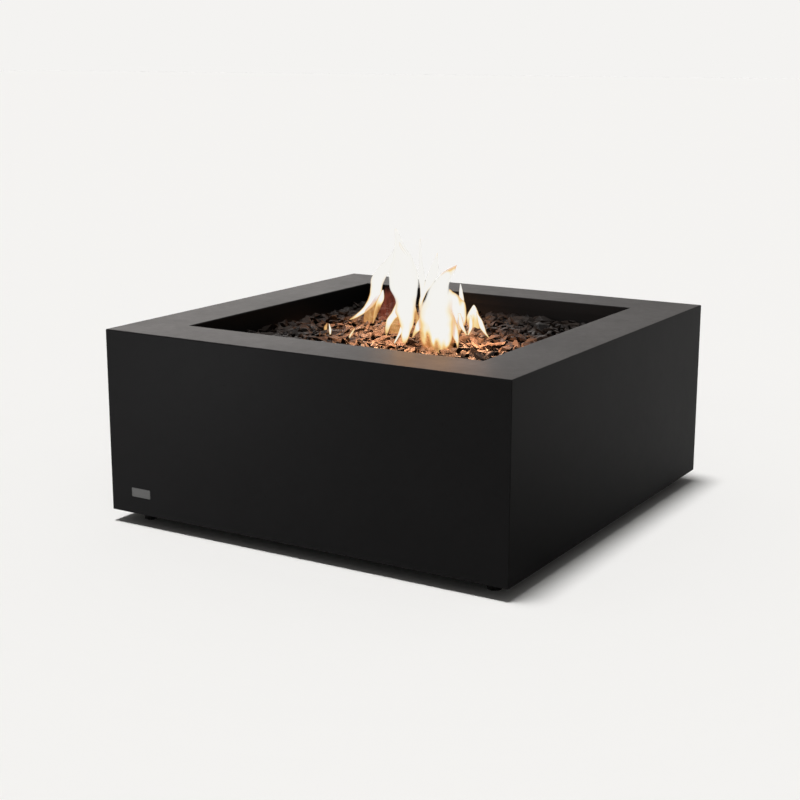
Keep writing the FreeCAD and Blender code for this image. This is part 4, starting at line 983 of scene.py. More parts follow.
class FIREPIT_OT_glass(bpy.types.Operator):
    """Fill the bowl with broken black glass"""

    bl_idname = "firepit.glass"
    bl_label = "Fire glass"

    def execute(self, context):
        settings = context.scene.fire_pit_glass
        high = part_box("glass_media")[1]
        rng = random.Random(settings.seed)
        shapes = [self.chip_shape(rng) for _ in range(CHIP_SHAPES)]
        material = self.glass_material(settings)
        bed_top = self.bed_surface(high.x, high.z)
        chips = self.spread_chips(settings, rng, shapes, high.x, high.z, bed_top)
        core = self.core(high.x, high.z, bed_top)
        pieces = [add_piece("fire_glass", chips), add_piece("glass_bed_core", core)]
        for piece in pieces:
            piece.data.materials.append(material)
        replace_node("glass_media")
        return {"FINISHED"}

    def bed_surface(self, reach, top):
        """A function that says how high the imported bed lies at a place."""
        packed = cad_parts["glass_media"].data
        tree = BVHTree.FromPolygons([vertex.co for vertex in packed.vertices],
                                    [tuple(face.vertices) for face in packed.polygons])
        limit = reach - BED_EDGE

        def height_at(x, y):
            start = Vector((min(max(x, -limit), limit), min(max(y, -limit), limit), top + RAY_START))
            hit = tree.ray_cast(start, -UP)[0]
            return hit.z if hit else top - BED_DROP

        return height_at

    def chip_shape(self, rng):
        """Corners and faces of one broken chip, about one unit long."""
        shape = bmesh.new()
        wide, thick = rng.uniform(*CHIP_WIDTH), rng.uniform(*CHIP_THICKNESS)
        for _ in range(rng.randint(*CHIP_CORNERS)):
            way = Vector((rng.gauss(0, 1), rng.gauss(0, 1), rng.gauss(0, 1))).normalized()
            way *= rng.uniform(*CORNER_REACH)
            shape.verts.new((way.x, way.y * wide, way.z * thick))
        hull = bmesh.ops.convex_hull(shape, input=shape.verts)
        bmesh.ops.delete(shape, geom=hull["geom_interior"], context="VERTS")
        shape.verts.index_update()
        corners = np.array([vertex.co for vertex in shape.verts])
        faces = [[vertex.index for vertex in face.verts] for face in shape.faces]
        shape.free()
        return corners, faces

    def grid(self, spacing, reach):
        """Places of the chips on a loose grid, layer over layer, with each layer's depth and play."""
        rows = int(2 * reach / (spacing * ROW_SPACING))
        for layer, (depth, play) in enumerate(CHIP_LAYERS):
            for row in range(rows):
                y = -reach + (row + 0.5) * 2 * reach / rows
                for column in range(int(2 * reach / spacing)):
                    x = -reach + (column + 0.5 + 0.5 * ((row + layer) % 2)) * spacing
                    yield x, y, depth, play

    def spread_chips(self, settings, rng, shapes, reach, top, bed_top):
        """One mesh of all the chips."""
        points, faces, tones = [], [], []
        for x, y, depth, play in self.grid(settings.spacing, reach):
            length = settings.least + (settings.most - settings.least) * rng.random() ** SHORT_BIAS
            shift_x, shift_y = rng.uniform(-CHIP_SHIFT, CHIP_SHIFT), rng.uniform(-CHIP_SHIFT, CHIP_SHIFT)
            spot = Vector((x + shift_x, y + shift_y, 0.0))
            turned = self.turned(rng.gauss(0, CHIP_TILT), rng.gauss(0, CHIP_TILT), rng.uniform(0, math.tau))
            corners, sides = shapes[rng.randrange(len(shapes))]
            tone = rng.random()
            spot.z = bed_top(spot.x, spot.y) - depth + rng.uniform(-play, play)
            body = corners @ (np.array(turned).T * length) + np.array(spot)
            self.keep_inside(body, reach - WALL_GAP, top + HEAP)
            start = len(points)
            points.extend(body.tolist())
            faces.extend([start + k for k in side] for side in sides)
            tones.extend([tone] * len(sides))
        mesh = bpy.data.meshes.new("fire_glass")
        mesh.from_pydata(points, [], faces)
        mesh.attributes.new("tone", "FLOAT", "FACE").data.foreach_set("value", tones)
        return mesh

    def turned(self, about_x, about_y, about_z):
        """The turn of a chip that is tilted two ways and then spun."""
        return (Matrix.Rotation(about_z, 3, "Z") @ Matrix.Rotation(about_x, 3, "X")
                @ Matrix.Rotation(about_y, 3, "Y"))

    def keep_inside(self, body, wall, ceiling):
        """Moves a chip's corners off the walls of the bowl and down under the ceiling of the heap."""
        for axis in (0, 1):
            over = body[:, axis].max() - wall
            under = -wall - body[:, axis].min()
            body[:, axis] -= max(over, 0.0)
            body[:, axis] += max(under, 0.0)
        body[:, 2] -= max(body[:, 2].max() - ceiling, 0.0)

    def core(self, reach, top, bed_top):
        """The uneven lower glass that shows between the chips."""
        cells, side = CORE_CELLS, 2 * reach - CORE_GAP
        points, faces = [], []
        for row in range(cells + 1):
            for column in range(cells + 1):
                x, y = side * (column / cells - 0.5), side * (row / cells - 0.5)
                rise = CORE_RIPPLE * noise.noise(Vector((x * CORE_RIPPLES, y * CORE_RIPPLES, 0.0)))
                points.append(Vector((x, y, bed_top(x, y) - CORE_DEPTH + rise)))
        wide = cells + 1
        for row in range(cells):
            for column in range(cells):
                first = row * wide + column
                faces.append((first, first + 1, first + wide + 1, first + wide))
        front, right = list(range(wide)), [k * wide + cells for k in range(1, wide)]
        rear = [cells * wide + k for k in range(cells - 1, -1, -1)]
        left = [k * wide for k in range(cells - 1, 0, -1)]
        rim = front + right + rear + left
        start = len(points)
        points.extend(Vector((points[k].x, points[k].y, top - CORE_BASE)) for k in rim)
        for k in range(len(rim)):
            after = (k + 1) % len(rim)
            faces.append((rim[k], rim[after], start + after, start + k))
        faces.append(tuple(range(start, start + len(rim))))
        mesh = mesh_from("glass_bed_core", points, faces)
        tones = [CORE_TONE] * len(mesh.polygons)
        mesh.attributes.new("tone", "FLOAT", "FACE").data.foreach_set("value", tones)
        return mesh

    def glass_material(self, settings):
        """Black glass, chip by chip a little paler or darker, with rippled broken faces."""
        material, tree, shader = new_material("broken_black_glass", Specular_IOR_Level=0.07)
        tone, place = kept_value(tree, "tone"), object_place(tree)
        veins = noise_of(tree, place, scale=160.0, detail=3.0, roughness=0.6, distortion=0.8)
        veined = ranged(tree, veins, 0.3, 0.7, to_low=0.6, to_high=1.2)
        pale = maths(tree, "MULTIPLY", maths(tree, "POWER", tone, 1.3), veined, clamp=True)
        set_sockets(tree, shader, {"Base Color": mixed(tree, pale, settings.black, settings.smoke),
                                   "Roughness": ranged(tree, tone, 0.0, 1.0, to_low=0.30, to_high=0.58)})
        ripple = add_node(tree, "ShaderNodeTexWave", {"Vector": place, "Scale": 90.0, "Distortion": 9.0,
                                                      "Detail": 2.0, "Detail Scale": 1.5})
        add_bump(tree, shader, ripple.outputs["Fac"], depth=0.0005, strength=0.6)
        return material


MILLIMETRE = 0.001

# A tongue of flame stands on its foot, a place in metres on the glass. Its line has (across, up, half width)
# in millimetres, depth is its thickness for its width, and cool and tip are how hot its two ends are, from
# 0 to 1. It is hot from the height hot_from on, in millimetres, or never
Tongue = namedtuple("Tongue", "foot depth cool hot_from tip line")
GLASS_LEVEL = 0.401
NEVER = 999
TONGUES = (
    Tongue((-0.251, 0.105), 0.6, 0.60, 12, 1.0, (
        (-4, -2, 3), (4, 2, 6), (20, 13, 8), (41, 32, 10), (57, 57, 14), (60, 82, 13), (66, 104, 16),
        (88, 134, 16), (103, 158, 9), (108, 180, 1))),
    Tongue((-0.176, 0.082), 0.6, 0.42, 50, 0.9, (
        (-1, -6, 1), (6, 20, 5), (14, 44, 7), (21, 63, 6), (25, 82, 1))),
    Tongue((-0.201, 0.101), 0.35, 0.38, NEVER, 0.1, ((-2, -4, 9), (6, 24, 13), (16, 43, 10), (24, 66, 4))),
    Tongue((-0.183, 0.147), 0.3, 0.21, NEVER, 0.10, (
        (0, -4, 14), (6, 20, 20), (13, 43, 20), (9, 66, 13), (7, 84, 3))),
    Tongue((0.027, -0.107), 0.6, 0.46, 14, 0.85, (
        (-1, -5, 2), (2, 14, 8), (6, 34, 11), (6, 52, 16), (3, 72, 20), (5, 98, 21), (1, 130, 29),
        (-1, 163, 29), (-2, 194, 20), (-10, 225, 10), (-19, 262, 1))),
    Tongue((-0.064, -0.037), 0.5, 0.50, 20, 0.9, (
        (0, -4, 1), (2, 10, 4), (5, 24, 6), (13, 38, 9), (27, 54, 13), (38, 78, 14), (42, 112, 10))),
    Tongue((-0.049, -0.023), 0.3, 0.37, NEVER, 0.1, ((0, 2, 9), (2, 27, 14), (5, 42, 13), (9, 64, 8))),
    Tongue((0.008, -0.119), 0.8, 0.70, 10, 1.0, ((-2, -4, 1), (9, 16, 3), (16, 31, 4), (22, 56, 2))),
    Tongue((-0.062, 0.097), 0.6, 0.44, 45, 0.6, ((0, -4, 1), (2, 16, 5), (-3, 37, 5), (-6, 62, 1))),
    Tongue((-0.057, 0.106), 0.6, 0.80, 0, 0.8, (
        (3, 47, 2), (6, 84, 5), (6, 110, 6), (3, 143, 5), (1, 176, 3), (1, 212, 1))),
    Tongue((-0.055, 0.108), 0.6, 0.60, 62, 0.75, (
        (0, 38, 3), (1, 61, 5), (9, 84, 7), (21, 107, 10), (30, 133, 10), (36, 158, 5), (39, 178, 1))),
    Tongue((0.119, -0.110), 0.8, 0.36, 22, 0.4, (
        (2, -8, 27), (1, 12, 33), (-1, 34, 36), (-3, 52, 37), (-5, 70, 38), (-6, 90, 34), (1, 111, 27),
        (2, 135, 20), (11, 156, 15), (24, 174, 11), (39, 188, 1))),
    Tongue((-0.001, -0.022), 0.4, 0.50, 20, 0.7, (
        (0, -3, 1), (7, 9, 4), (15, 19, 8), (23, 34, 11), (29, 52, 9), (32, 70, 2))),
    Tongue((0.124, -0.094), 0.7, 0.50, 4, 1.0, (
        (9, -6, 1), (9, 12, 5), (5, 30, 9), (-2, 52, 13), (-8, 80, 12))),
    Tongue((0.140, -0.080), 0.7, 0.42, 12, 1.0, (
        (11, -4, 1), (9, 14, 4), (2, 36, 9), (-8, 62, 12), (-14, 86, 10))),
    Tongue((0.082, 0.027), 0.7, 0.45, 26, 1.0, ((2, -6, 1), (-7, 16, 6), (-14, 39, 5), (-20, 60, 1))),
    Tongue((0.100, -0.078), 0.25, 0.30, NEVER, 0.0, ((1, -12, 20), (0, -2, 34), (0, 14, 38), (-1, 40, 36))),
    Tongue((0.049, 0.104), 0.5, 0.50, 20, 0.6, (
        (-2, 0, 12), (-1, 19, 20), (-2, 44, 21), (-4, 66, 20), (-8, 80, 15), (-14, 91, 7), (-19, 99, 1))),
    Tongue((0.058, 0.109), 0.7, 0.90, 0, 1.0, ((-1, 40, 4), (-1, 69, 6), (-2, 87, 5), (-4, 112, 1))),
    Tongue((0.098, 0.060), 0.7, 0.55, 14, 1.0, ((3, -5, 1), (-7, 14, 5), (-13, 30, 6), (-18, 52, 3))),
    Tongue((0.074, 0.053), 0.3, 0.39, NEVER, 0.1, ((-2, -4, 9), (0, 19, 16), (1, 44, 14))),
    Tongue((0.072, 0.145), 0.4, 0.60, 34, 0.9, ((2, -4, 10), (0, 14, 15), (-2, 34, 13), (-1, 58, 1))),
    Tongue((0.152, 0.068), 0.6, 0.55, 12, 0.8, ((4, -5, 1), (-10, 13, 4), (-19, 36, 5), (-29, 60, 1))),
    Tongue((0.101, 0.062), 0.6, 0.55, 14, 0.8, ((-2, -5, 1), (5, 14, 4), (6, 34, 4), (6, 48, 1))),
    Tongue((0.037, -0.124), 0.8, 0.90, NEVER, 0.8, ((9, 203, 1), (3, 211, 3), (-5, 222, 3), (-10, 234, 1))),
    Tongue((-0.207, -0.077), 0.6, 0.42, 14, 0.4, ((0, -4, 2), (0, 10, 4), (3, 21, 1))),
    Tongue((-0.191, -0.083), 0.6, 0.60, 4, 0.8, ((0, -4, 2), (0, 10, 3), (-2, 22, 1))),
    Tongue((-0.125, -0.096), 0.6, 0.50, 8, 0.6, ((-3, -4, 2), (3, 8, 3), (10, 19, 1))),
)
LINE_STEPS = 5                               # rows from one point of a line to the next
TONGUE_SIDES = 40
TONGUE_WIDER = 1.14                          # what the half widths of the lines are multiplied by
THINNEST = 0.0008
HEATING = (0.022, 0.034)                     # starts so far below hot_from, and takes this much height
COOLING = (0.024, 0.022)                     # the same, below the tip
FRINGE_FROM = 0.030                          # half width from which a tongue's foot has full fingers
FRINGES = 75.0                               # in a metre
WAVES = Vector((38.0, 38.0, 20.0))           # in a metre, of the ripples in the outline
SMALLER_WAVES = 2.9
FLICKER_FROM = 0.004                         # half width from which a tongue ripples fully

# Where one look of the gas gives way to the next: by how hot, how deep or how high it is
STREAKED_HEAT = (0.05, 0.40)
ORANGE_HEAT = (0.22, 0.34)
PALER_HEAT = (0.60, 0.90)
PALER_HEIGHT = (0.465, 0.515)
SOLID_DEPTH = (0.09, 0.54)
YELLOW_DEPTH = (0.26, 0.66)
HOT_DEPTH = (0.56, 0.86)

# Lamps over the glass, with the share of the power that each gives. Spreads are in degrees
FLAME_LAMPS = (((-0.175, 0.040, 0.500), 0.55), ((-0.050, -0.090, 0.505), 0.65),
               ((0.080, -0.170, 0.505), 0.9), ((0.180, -0.030, 0.505), 1.1),
               ((0.010, 0.090, 0.510), 0.7), ((-0.080, 0.200, 0.520), 0.6))
FLAME_LAMP = dict(way=(0.0, 0.0, -1.0), spread=136.0, size=0.035)
RIM_GLOW = dict(place=(0.105, -0.050, 0.560), way=(0.08, -1.0, -0.28), spread=116.0, size=0.10)
WALL_GLOW = dict(place=(0.160, -0.200, 0.580), way=(0.0, 0.575, -0.160), spread=80.0, size=0.22)
WALL_GLOW_COLOUR = (1.0, 0.88, 0.82)


class FIREPIT_OT_flames(bpy.types.Operator):
    """Light the gas over the glass"""

    bl_idname = "firepit.flames"
    bl_label = "Flames"

    def execute(self, context):
        settings = context.scene.fire_pit_flame
        points, faces, heats = [], [], []
        for tongue in TONGUES:
            rows = self.refined([Vector(point) * MILLIMETRE for point in tongue.line])
            rings = self.rings(tongue, rows, settings.flicker)
            part_points, part_faces = skin_of(rings)
            start = len(points)
            points.extend(part_points)
            faces.extend([start + k for k in face] for face in part_faces)
            heats.extend(self.heat_at(row.y + self.fringe(point, row.z, settings.fringe), tongue, rows[-1].y)
                         for row, ring in zip(rows, rings) for point in ring)
        flame = add_piece("flames", mesh_from("flames", points, faces, smooth=True))
        flame.data.attributes.new("warmth", "FLOAT", "POINT").data.foreach_set("value", heats)
        flame.data.materials.append(self.flame_material(settings))
        flame.visible_shadow = False
        flame.visible_diffuse = False
        self.add_lamps(settings)
        return {"FINISHED"}

    def heat_at(self, height, tongue, top):
        """How hot a tongue is at a height over its foot: cool, then hot, and cooler again at the tip."""
        rise = limited((height - tongue.hot_from * MILLIMETRE + HEATING[0]) / HEATING[1])
        heat = tongue.cool + (1.0 - tongue.cool) * rise * rise * (3.0 - 2.0 * rise)
        fade = limited((height - top + COOLING[0]) / COOLING[1])
        return heat * (1.0 - fade) + min(heat, tongue.tip) * fade

    def fringe(self, point, half, depth):
        """How far the heat is moved up or down at a point, so that a wide tongue's foot is in fingers."""
        return depth * min(half / FRINGE_FROM, 1.0) * noise.noise(Vector((point.x, point.y, 0.0)) * FRINGES)

    def refined(self, rows):
        """More rows between the given ones, on a smooth line through them."""
        fine = []
        for k in range(len(rows) - 1):
            before, start, end = rows[max(k - 1, 0)], rows[k], rows[k + 1]
            after = rows[min(k + 2, len(rows) - 1)]
            for step in range(LINE_STEPS):
                t = step / LINE_STEPS
                bend = 2 * before - 5 * start + 4 * end - after
                twist = 3 * start - before - 3 * end + after
                fine.append(0.5 * (2 * start + (end - before) * t + bend * t * t + twist * t ** 3))
        return fine + [rows[-1]]

    def rings(self, tongue, rows, flicker):
        """Oval rings up a tongue, a little uneven."""
        rings = []
        for across, height, half in rows:
            centre = Vector((*tongue.foot, GLASS_LEVEL + height)) + ACROSS * across
            half = max(half * TONGUE_WIDER, THINNEST)
            ring = []
            for n in range(TONGUE_SIDES):
                angle = math.tau * n / TONGUE_SIDES
                way = ACROSS * (half * math.cos(angle)) + AWAY * (half * tongue.depth * math.sin(angle))
                place = (centre + way) * WAVES
                sway = noise.noise(place) + 0.5 * noise.noise(place * SMALLER_WAVES)
                ring.append(centre + way * (1.0 + flicker * sway / max(half, FLICKER_FROM)))
            rings.append(ring)
        return rings

    def flame_material(self, settings):
        """Glowing gas: orange and clear where it is thin and low, and nearly white where it is thick."""
        material, tree, shader = new_material("burning_gas", Base_Color=(0.0, 0.0, 0.0), Roughness=1.0,
                                              Specular_IOR_Level=0.0)
        heat, place = kept_value(tree, "warmth"), object_place(tree)
        edge = add_node(tree, "ShaderNodeLayerWeight", {"Blend": 0.5}).outputs["Facing"]
        facing = maths(tree, "SUBTRACT", 1.0, edge)
        depth = maths(tree, "MULTIPLY", maths(tree, "POWER", facing, 1.3), heat)
        streak = maths(tree, "MULTIPLY", self.streak(tree, place, heat, settings.streaks), facing)
        depth = maths(tree, "ADD", depth, streak)
        thin = mixed(tree, ranged(tree, heat, *ORANGE_HEAT), settings.ember, settings.orange)
        low = mixed(tree, ranged(tree, depth, *YELLOW_DEPTH), thin, settings.yellow)
        height = add_node(tree, "ShaderNodeSeparateXYZ", {"Vector": place}).outputs["Z"]
        paler = maths(tree, "MULTIPLY", ranged(tree, heat, *PALER_HEAT), ranged(tree, height, *PALER_HEIGHT))
        high = mixed(tree, paler, low, settings.pale)
        colour = mixed(tree, ranged(tree, depth, *HOT_DEPTH), high, settings.hot)
        front = maths(tree, "SUBTRACT", 1.0, add_node(tree, "ShaderNodeNewGeometry").outputs["Backfacing"])
        mirrored = add_node(tree, "ShaderNodeLightPath").outputs["Is Glossy Ray"]
        strength = ranged(tree, mirrored, 0.0, 1.0, to_low=1.0, to_high=settings.mirror_strength)
        solid = maths(tree, "MULTIPLY", ranged(tree, depth, *SOLID_DEPTH), front)
        set_sockets(tree, shader, {"Emission Color": mixed(tree, mirrored, colour, settings.mirrored),
                                   "Emission Strength": strength, "Alpha": solid})
        return material

    def streak(self, tree, place, heat, amount):
        """Upright streaks where the gas is neither cool nor quite hot."""
        drawn = add_node(tree, "ShaderNodeMapping", {"Vector": place, "Scale": (1.0, 1.0, 0.16)}).outputs
        grain = noise_of(tree, drawn["Vector"], scale=120.0, detail=3.0, roughness=0.6, distortion=0.6)
        streak = maths(tree, "MULTIPLY", centred(tree, grain), amount)
        streak = maths(tree, "MULTIPLY", streak, maths(tree, "SUBTRACT", 1.25, heat))
        return maths(tree, "MULTIPLY", streak, ranged(tree, heat, *STREAKED_HEAT))

    def add_lamps(self, settings):
        """The light of the flames on the glass, on the near rim and on the rear wall."""
        colour = settings.lamp_colour
        for k, (place, share) in enumerate(FLAME_LAMPS):
            self.throw(f"flame_light_{k}", settings.lamp_power * share, colour, place, **FLAME_LAMP)
        self.throw("flame_glow", settings.glow_power, colour, **RIM_GLOW)
        self.throw("rear_wall_glow", settings.wall_power, WALL_GLOW_COLOUR, **WALL_GLOW)

    def throw(self, name, power, colour, place, way, spread, size):
        """A soft round lamp that fades towards the edge of its spread."""
        add_lamp(name, "SPOT", power, place, way, color=colour, shadow_soft_size=size,
                 spot_size=math.radians(spread), spot_blend=1.0)


class FIREPIT_OT_gas_train(bpy.types.Operator):
    """Finish the mixer, the jet, the valve and the fittings"""

    bl_idname = "firepit.gas_train"
    bl_label = "Gas train"

    def execute(self, context):
        dress(context.scene, "air_mixer", "air_shutter", "shutter_screw", "jet_holder", "hose_nut_mixer",
              "hose_nut_valve", "valve_body", "valve_gland", "valve_plug", "valve_spindle", "valve_screws",
              "safety_magnet", "thermocouple_nut", "gas_inlet", "gas_inlet_nut", "inlet_elbow",
              "inlet_union_nut")
        return {"FINISHED"}


# Control points of the lines of the hose and the leads
HOSE_ROUTE = ((0.050, 0.4235, 0.215), (0.160, 0.4235, 0.215), (0.215, 0.310, 0.170), (0.150, 0.180, 0.105),
              (0.075, 0.086, 0.050), (0.0, 0.0, 0.085), (0.0, 0.0, 0.215))
IGNITION_ROUTE = ((0.012, 0.173, 0.350), (0.012, 0.173, 0.284), (0.022, 0.215, 0.247), (0.038, 0.254, 0.227),
                  (0.062, 0.306, 0.232), (0.078, 0.356, 0.245), (0.078, 0.408, 0.245))
THERMOCOUPLE_ROUTE = ((-0.012, 0.173, 0.350), (-0.012, 0.173, 0.290), (-0.017, 0.206, 0.250),
                      (-0.021, 0.252, 0.227), (-0.011, 0.292, 0.211), (0.0, 0.3395, 0.215),
                      (0.0, 0.3795, 0.215))
HOSE_STEP = 0.003
LEAD_STEP = 0.004
HOSE_SIDES = 20
LEAD_SIDES = 14
CAPILLARY_SIDES = 12
FERRULE_LENGTH = 0.020
FERRULE_SLOPE = 0.003                        # length over which it narrows to the hose
FERRULE_GRIP = 1.16                          # its radius as a share of the hose's
BRAID_BANDS = 8.0


class FIREPIT_OT_hose(bpy.types.Operator):
    """Run the braided gas hose and the two leads"""

    bl_idname = "firepit.hose"
    bl_label = "Hose and leads"

    def execute(self, context):
        scene = context.scene
        settings = scene.fire_pit_hose
        route = smooth_route(HOSE_ROUTE)
        length = sum((b - a).length for a, b in zip(route, route[1:]))

        def hose_radius(travelled):
            to_end = min(travelled, length - travelled)
            ease = limited((to_end - FERRULE_LENGTH) / FERRULE_SLOPE)
            return settings.hose_radius * (FERRULE_GRIP - (FERRULE_GRIP - 1.0) * ease)

        braid = self.braid_material(scene.fire_pit_metal.stainless, settings.braid_pitch)
        silicone = moulded_material("silicone_red_finish", settings.silicone, grain=0.0007, roughness=0.5,
                                    unevenness=0.1, depth=0.00005, level=0.4)
        self.run("braided_hose", "gas_hose", self.even(route, HOSE_STEP), hose_radius, HOSE_SIDES, braid)
        self.run("ignition_cable", "ignition_lead", self.even(smooth_route(IGNITION_ROUTE), LEAD_STEP),
                 lambda _: settings.lead_radius, LEAD_SIDES, silicone)
        self.run("thermocouple_capillary", "thermocouple_lead",
                 self.even(smooth_route(THERMOCOUPLE_ROUTE), LEAD_STEP),
                 lambda _: settings.capillary_radius, CAPILLARY_SIDES, finish_of("copper", scene))
        return {"FINISHED"}

    def run(self, name, node, path, radius_at, sides, material):
        """Lays a hose or a lead along a path, in place of its CAD node."""
        piece = add_piece(name, swept_tube(name, path, radius_at, sides))
        piece.data.materials.append(material)
        replace_node(node)

    def even(self, path, step):
        """The same line with points about one step apart."""
        lengths = [0.0]
        for a, b in zip(path, path[1:]):
            lengths.append(lengths[-1] + (b - a).length)
        count = max(2, round(lengths[-1] / step))
        spaced, k = [], 0
        for n in range(count + 1):
            goal = lengths[-1] * n / count
            while k < len(path) - 2 and lengths[k + 1] < goal:
                k += 1
            span = lengths[k + 1] - lengths[k]
            spaced.append(path[k].lerp(path[k + 1], (goal - lengths[k]) / span if span else 0.0))
        return spaced

    def braid_material(self, colour, pitch):
        """Bright wire, woven round the hose."""
        material, tree, shader = new_material("hose_steel_finish", Metallic=1.0)
        braid = use_group(tree, "Braid", {"Colour": colour, "Pitch": pitch, "Bands": BRAID_BANDS})
        wear_finish(tree, shader, braid, depth=0.00035)
        return material


# Name, CAD node, the joint that shortens it, turns, and the share of its length that is left at full travel
SPRINGS = (("knob_return_spring", "knob_spring", "knob_push", 5, 0.735),
           ("button_return_spring", "igniter_spring", "igniter_press", 6, 0.462))
WIRE_SIDES = 8


class FIREPIT_OT_springs(bpy.types.Operator):
    """Wind the springs of the knob and the igniter button"""

    bl_idname = "firepit.springs"
    bl_label = "Springs"

    def execute(self, context):
        wire = context.scene.fire_pit_controls.wire
        for name, node, joint, turns, shortest in SPRINGS:
            low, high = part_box(node)
            middle = (low + high) / 2
            radius = (high.x - low.x) / 2 - wire
            path = coil_path(middle, radius, low.y + wire, high.y - wire, turns)
            spring = add_piece(name, swept_tube(name, path, lambda _: wire, WIRE_SIDES))
            spring.data.materials.append(finish_of("stainless", context.scene))
            replace_node(node)
            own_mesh(spring)
        return {"FINISHED"}


# Marks of the dial, on a ring round the knob. Places are (left to right, up) from its middle, as a reader
# behind the table sees them
DIAL_RING = 0.0285
TICK = (0.0009, 0.0042)                      # half its width, and its length
WEDGE_TURN = (80.0, 100.0)                   # degrees from the tick to its thick end, and on to its thin end
WEDGE_HALF = (0.0014, 0.0010)                # half its width at the thick end, and how much that shrinks
WEDGE_STEPS = 28
DROP_HALF = 0.36                             # half the width of a flame sign, as a share of its height
DROP_BEND = 0.12                             # how far it leans, as a share of its height
DROP_BELLY = 0.72                            # under 1, it is widest below its middle
DROP_FULLNESS = 0.9
DROP_ARC = 2.2                               # radians of the arc that its middle line follows
HIGH_FLAME = ((-0.0335, -0.0005), 0.0062)    # foot and height
LOW_FLAME = ((0.0042, -0.0325), 0.0038)
OFF_RISE = 0.0312
OFF_SIZE = 0.0052
POINTER = (0.0016, 0.0095, 0.0007, 4)        # width, length, corner radius, and its steps
POINTER_RISE = 0.0135                        # of its middle over the knob's
BOX_SHEET = 0.0015                           # thickness of the control box
SPARK_RISE = 0.0075
SPARK = ((0.0012, 0.0045), (-0.0020, -0.0005), (-0.0003, -0.0005), (-0.0014, -0.0045), (0.0022, 0.0007),
         (0.0004, 0.0007), (0.0020, 0.0045))


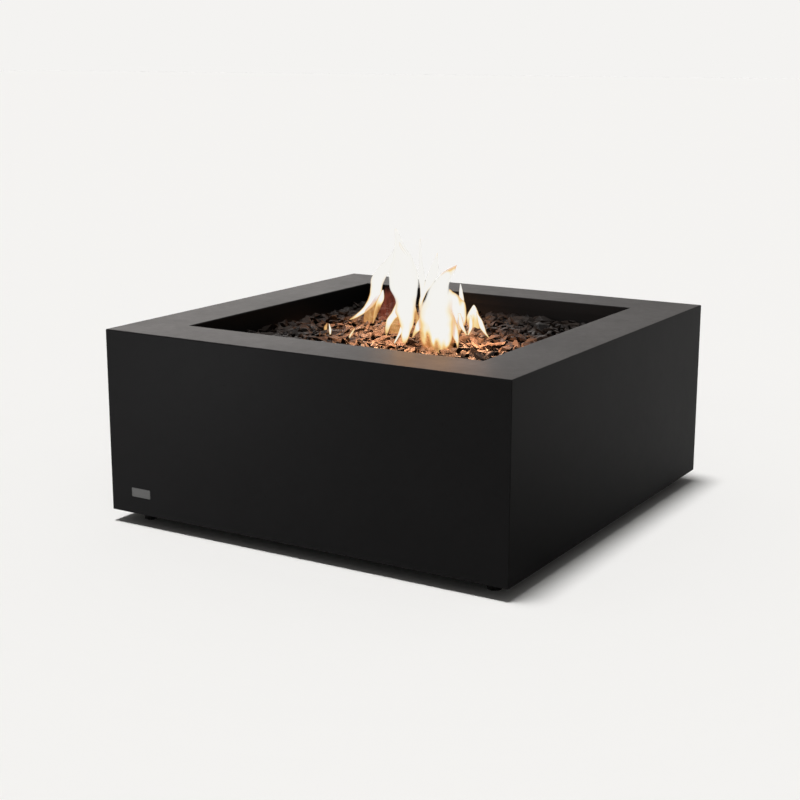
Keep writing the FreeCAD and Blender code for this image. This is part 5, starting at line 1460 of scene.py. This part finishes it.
class FIREPIT_OT_controls(bpy.types.Operator):
    """Finish the control box, the knob, its dial and the igniter"""

    bl_idname = "firepit.controls"
    bl_label = "Controls"

    def execute(self, context):
        scene = context.scene
        settings = scene.fire_pit_controls
        dress(scene, "control_box", "control_box_screws", "control_box_inserts", "knob_legend",
              "control_knob", "knob_grub_screw", "igniter_body", "igniter_nut", "igniter_button")
        self.ink = moulded_material("white_print", settings.print_colour, grain=0.0004, roughness=0.5,
                                    unevenness=0.05, depth=0.00001, level=0.4)
        low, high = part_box("knob_legend")
        dial = Vector(((low.x + high.x) / 2, high.y, (low.z + high.z) / 2))
        self.mark_dial(settings.print_height, dial)
        self.mark_pointer(settings.print_height, dial)
        self.mark_igniter(settings.print_height)
        return {"FINISHED"}

    def print_mark(self, name, outline, origin, height, body="cabinet"):
        """A thin printed shape that faces the rear, with an outline as on_dial gives it."""
        back = [origin + Vector((-x, 0.0, z)) for x, z in outline]
        front = [point + REARWARD * height for point in back]
        self.add_print(name, mesh_from(name, *skin_of([back, front])), body)

    def add_print(self, name, mesh, body="cabinet"):
        """Puts a mark on the part in the ink of the dial."""
        mesh.materials.append(self.ink)
        add_piece(name, mesh, body)

    def on_dial(self, radius, turn):
        """A place on the dial, turned from its top the way the knob turns, as its reader sees it."""
        return (-radius * math.sin(turn), radius * math.cos(turn))

    def mark_dial(self, height, dial):
        """The marks for off, high and low, and the wedge between high and low."""
        self.print_mark("dial_off_tick", self.bar(self.on_dial(DIAL_RING, 0.0), *TICK), dial, height)
        outer, inner = [], []
        for k in range(WEDGE_STEPS + 1):
            share = k / WEDGE_STEPS
            turn = math.radians(WEDGE_TURN[0] + WEDGE_TURN[1] * share)
            half = WEDGE_HALF[0] - WEDGE_HALF[1] * share
            outer.append(self.on_dial(DIAL_RING + half, turn))
            inner.append(self.on_dial(DIAL_RING - half, turn))
        self.print_mark("dial_heat_wedge", outer + inner[::-1], dial, height)
        self.print_mark("dial_high_flame", self.flame_sign(*HIGH_FLAME), dial, height)
        self.print_mark("dial_low_flame", self.flame_sign(*LOW_FLAME), dial, height)
        word_place = Vector((dial.x, dial.y, dial.z + OFF_RISE))
        self.print_word("dial_off_word", "OFF", OFF_SIZE, word_place, height)

    def mark_pointer(self, height, dial):
        """The line on the knob's face that points at the dial."""
        low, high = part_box("control_knob")
        origin = Vector((dial.x, high.y, (low.z + high.z) / 2))
        outline = [(x, z + POINTER_RISE) for x, z in rounded_outline(*POINTER)]
        self.print_mark("knob_pointer", outline, origin, 2 * height, "knob")

    def mark_igniter(self, height):
        """The spark over the igniter's button."""
        low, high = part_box("igniter_body")
        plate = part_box("control_box")[0].y + BOX_SHEET
        origin = Vector(((low.x + high.x) / 2, plate, high.z + SPARK_RISE))
        self.print_mark("igniter_spark_sign", SPARK, origin, height)

    def bar(self, centre, half_width, length):
        """Outline of an upright bar."""
        x, z = centre
        return [(x - half_width, z - length / 2), (x + half_width, z - length / 2),
                (x + half_width, z + length / 2), (x - half_width, z + length / 2)]

    def flame_sign(self, foot, height, steps=16):
        """Outline of a plain drop with a bent tip."""
        left, right = [], []
        for k in range(steps + 1):
            share = k / steps
            swell = math.sin(math.pi * share ** DROP_BELLY) ** DROP_FULLNESS if 0 < k < steps else 0.0
            half = DROP_HALF * height * swell
            bend = DROP_BEND * height * math.sin(DROP_ARC * share)
            left.append((foot[0] - half + bend, foot[1] + share * height))
            right.append((foot[0] + half + bend, foot[1] + share * height))
        return left[:-1] + right[:0:-1]

    def print_word(self, name, word, size, origin, height):
        """A printed word that faces the rear, with its middle at the origin."""
        text = bpy.data.curves.new(name, "FONT")
        text.body = word
        text.size = size
        text.align_x = "CENTER"
        text.align_y = "CENTER"
        text.extrude = height / 2
        holder = bpy.data.objects.new(name, text)
        mesh = bpy.data.meshes.new_from_object(holder)
        bpy.data.objects.remove(holder)
        bpy.data.curves.remove(text)
        mesh.transform(Matrix(((-1.0, 0.0, 0.0, origin.x), (0.0, 0.0, 1.0, origin.y + height / 2),
                               (0.0, 1.0, 0.0, origin.z), (0.0, 0.0, 0.0, 1.0))))
        mesh.name = name
        self.add_print(name, mesh)


class FIREPIT_PT_panel(bpy.types.Panel):
    """Lists the steps that dress the fire pit table"""

    bl_label = "Fire Pit Table"
    bl_idname = "FIREPIT_PT_panel"
    bl_space_type = "VIEW_3D"
    bl_region_type = "UI"
    bl_category = "Fire Pit"

    def draw(self, context):
        for step in STEPS:
            self.layout.operator(step.bl_idname)


SETTINGS = {
    "fire_pit_cast": CastSettings,
    "fire_pit_plate": PlateSettings,
    "fire_pit_glass": GlassSettings,
    "fire_pit_flame": FlameSettings,
    "fire_pit_metal": MetalSettings,
    "fire_pit_hose": HoseSettings,
    "fire_pit_controls": ControlSettings,
    "fire_pit_studio": StudioSettings,
}
STEPS = (FIREPIT_OT_stage, FIREPIT_OT_casing, FIREPIT_OT_nameplate, FIREPIT_OT_tray, FIREPIT_OT_glass,
         FIREPIT_OT_flames, FIREPIT_OT_gas_train, FIREPIT_OT_hose, FIREPIT_OT_springs, FIREPIT_OT_controls)


def register():
    """Registers the settings, the steps and the panel."""
    for group in SETTINGS.values():
        bpy.utils.register_class(group)
    for step in STEPS:
        bpy.utils.register_class(step)
    bpy.utils.register_class(FIREPIT_PT_panel)
    for name, group in SETTINGS.items():
        setattr(bpy.types.Scene, name, bpy.props.PointerProperty(type=group))


def unregister():
    """Takes back what register did, in the other order."""
    for name in SETTINGS:
        delattr(bpy.types.Scene, name)
    bpy.utils.unregister_class(FIREPIT_PT_panel)
    for step in reversed(STEPS):
        bpy.utils.unregister_class(step)
    for group in SETTINGS.values():
        bpy.utils.unregister_class(group)


def main():
    """Dresses the table."""
    register()
    bpy.ops.firepit.stage()
    bpy.ops.firepit.casing()
    bpy.ops.firepit.nameplate()
    bpy.ops.firepit.tray()
    bpy.ops.firepit.glass()
    bpy.ops.firepit.flames()
    bpy.ops.firepit.gas_train()
    bpy.ops.firepit.hose()
    bpy.ops.firepit.springs()
    bpy.ops.firepit.controls()


if __name__ == "__main__":
    main()
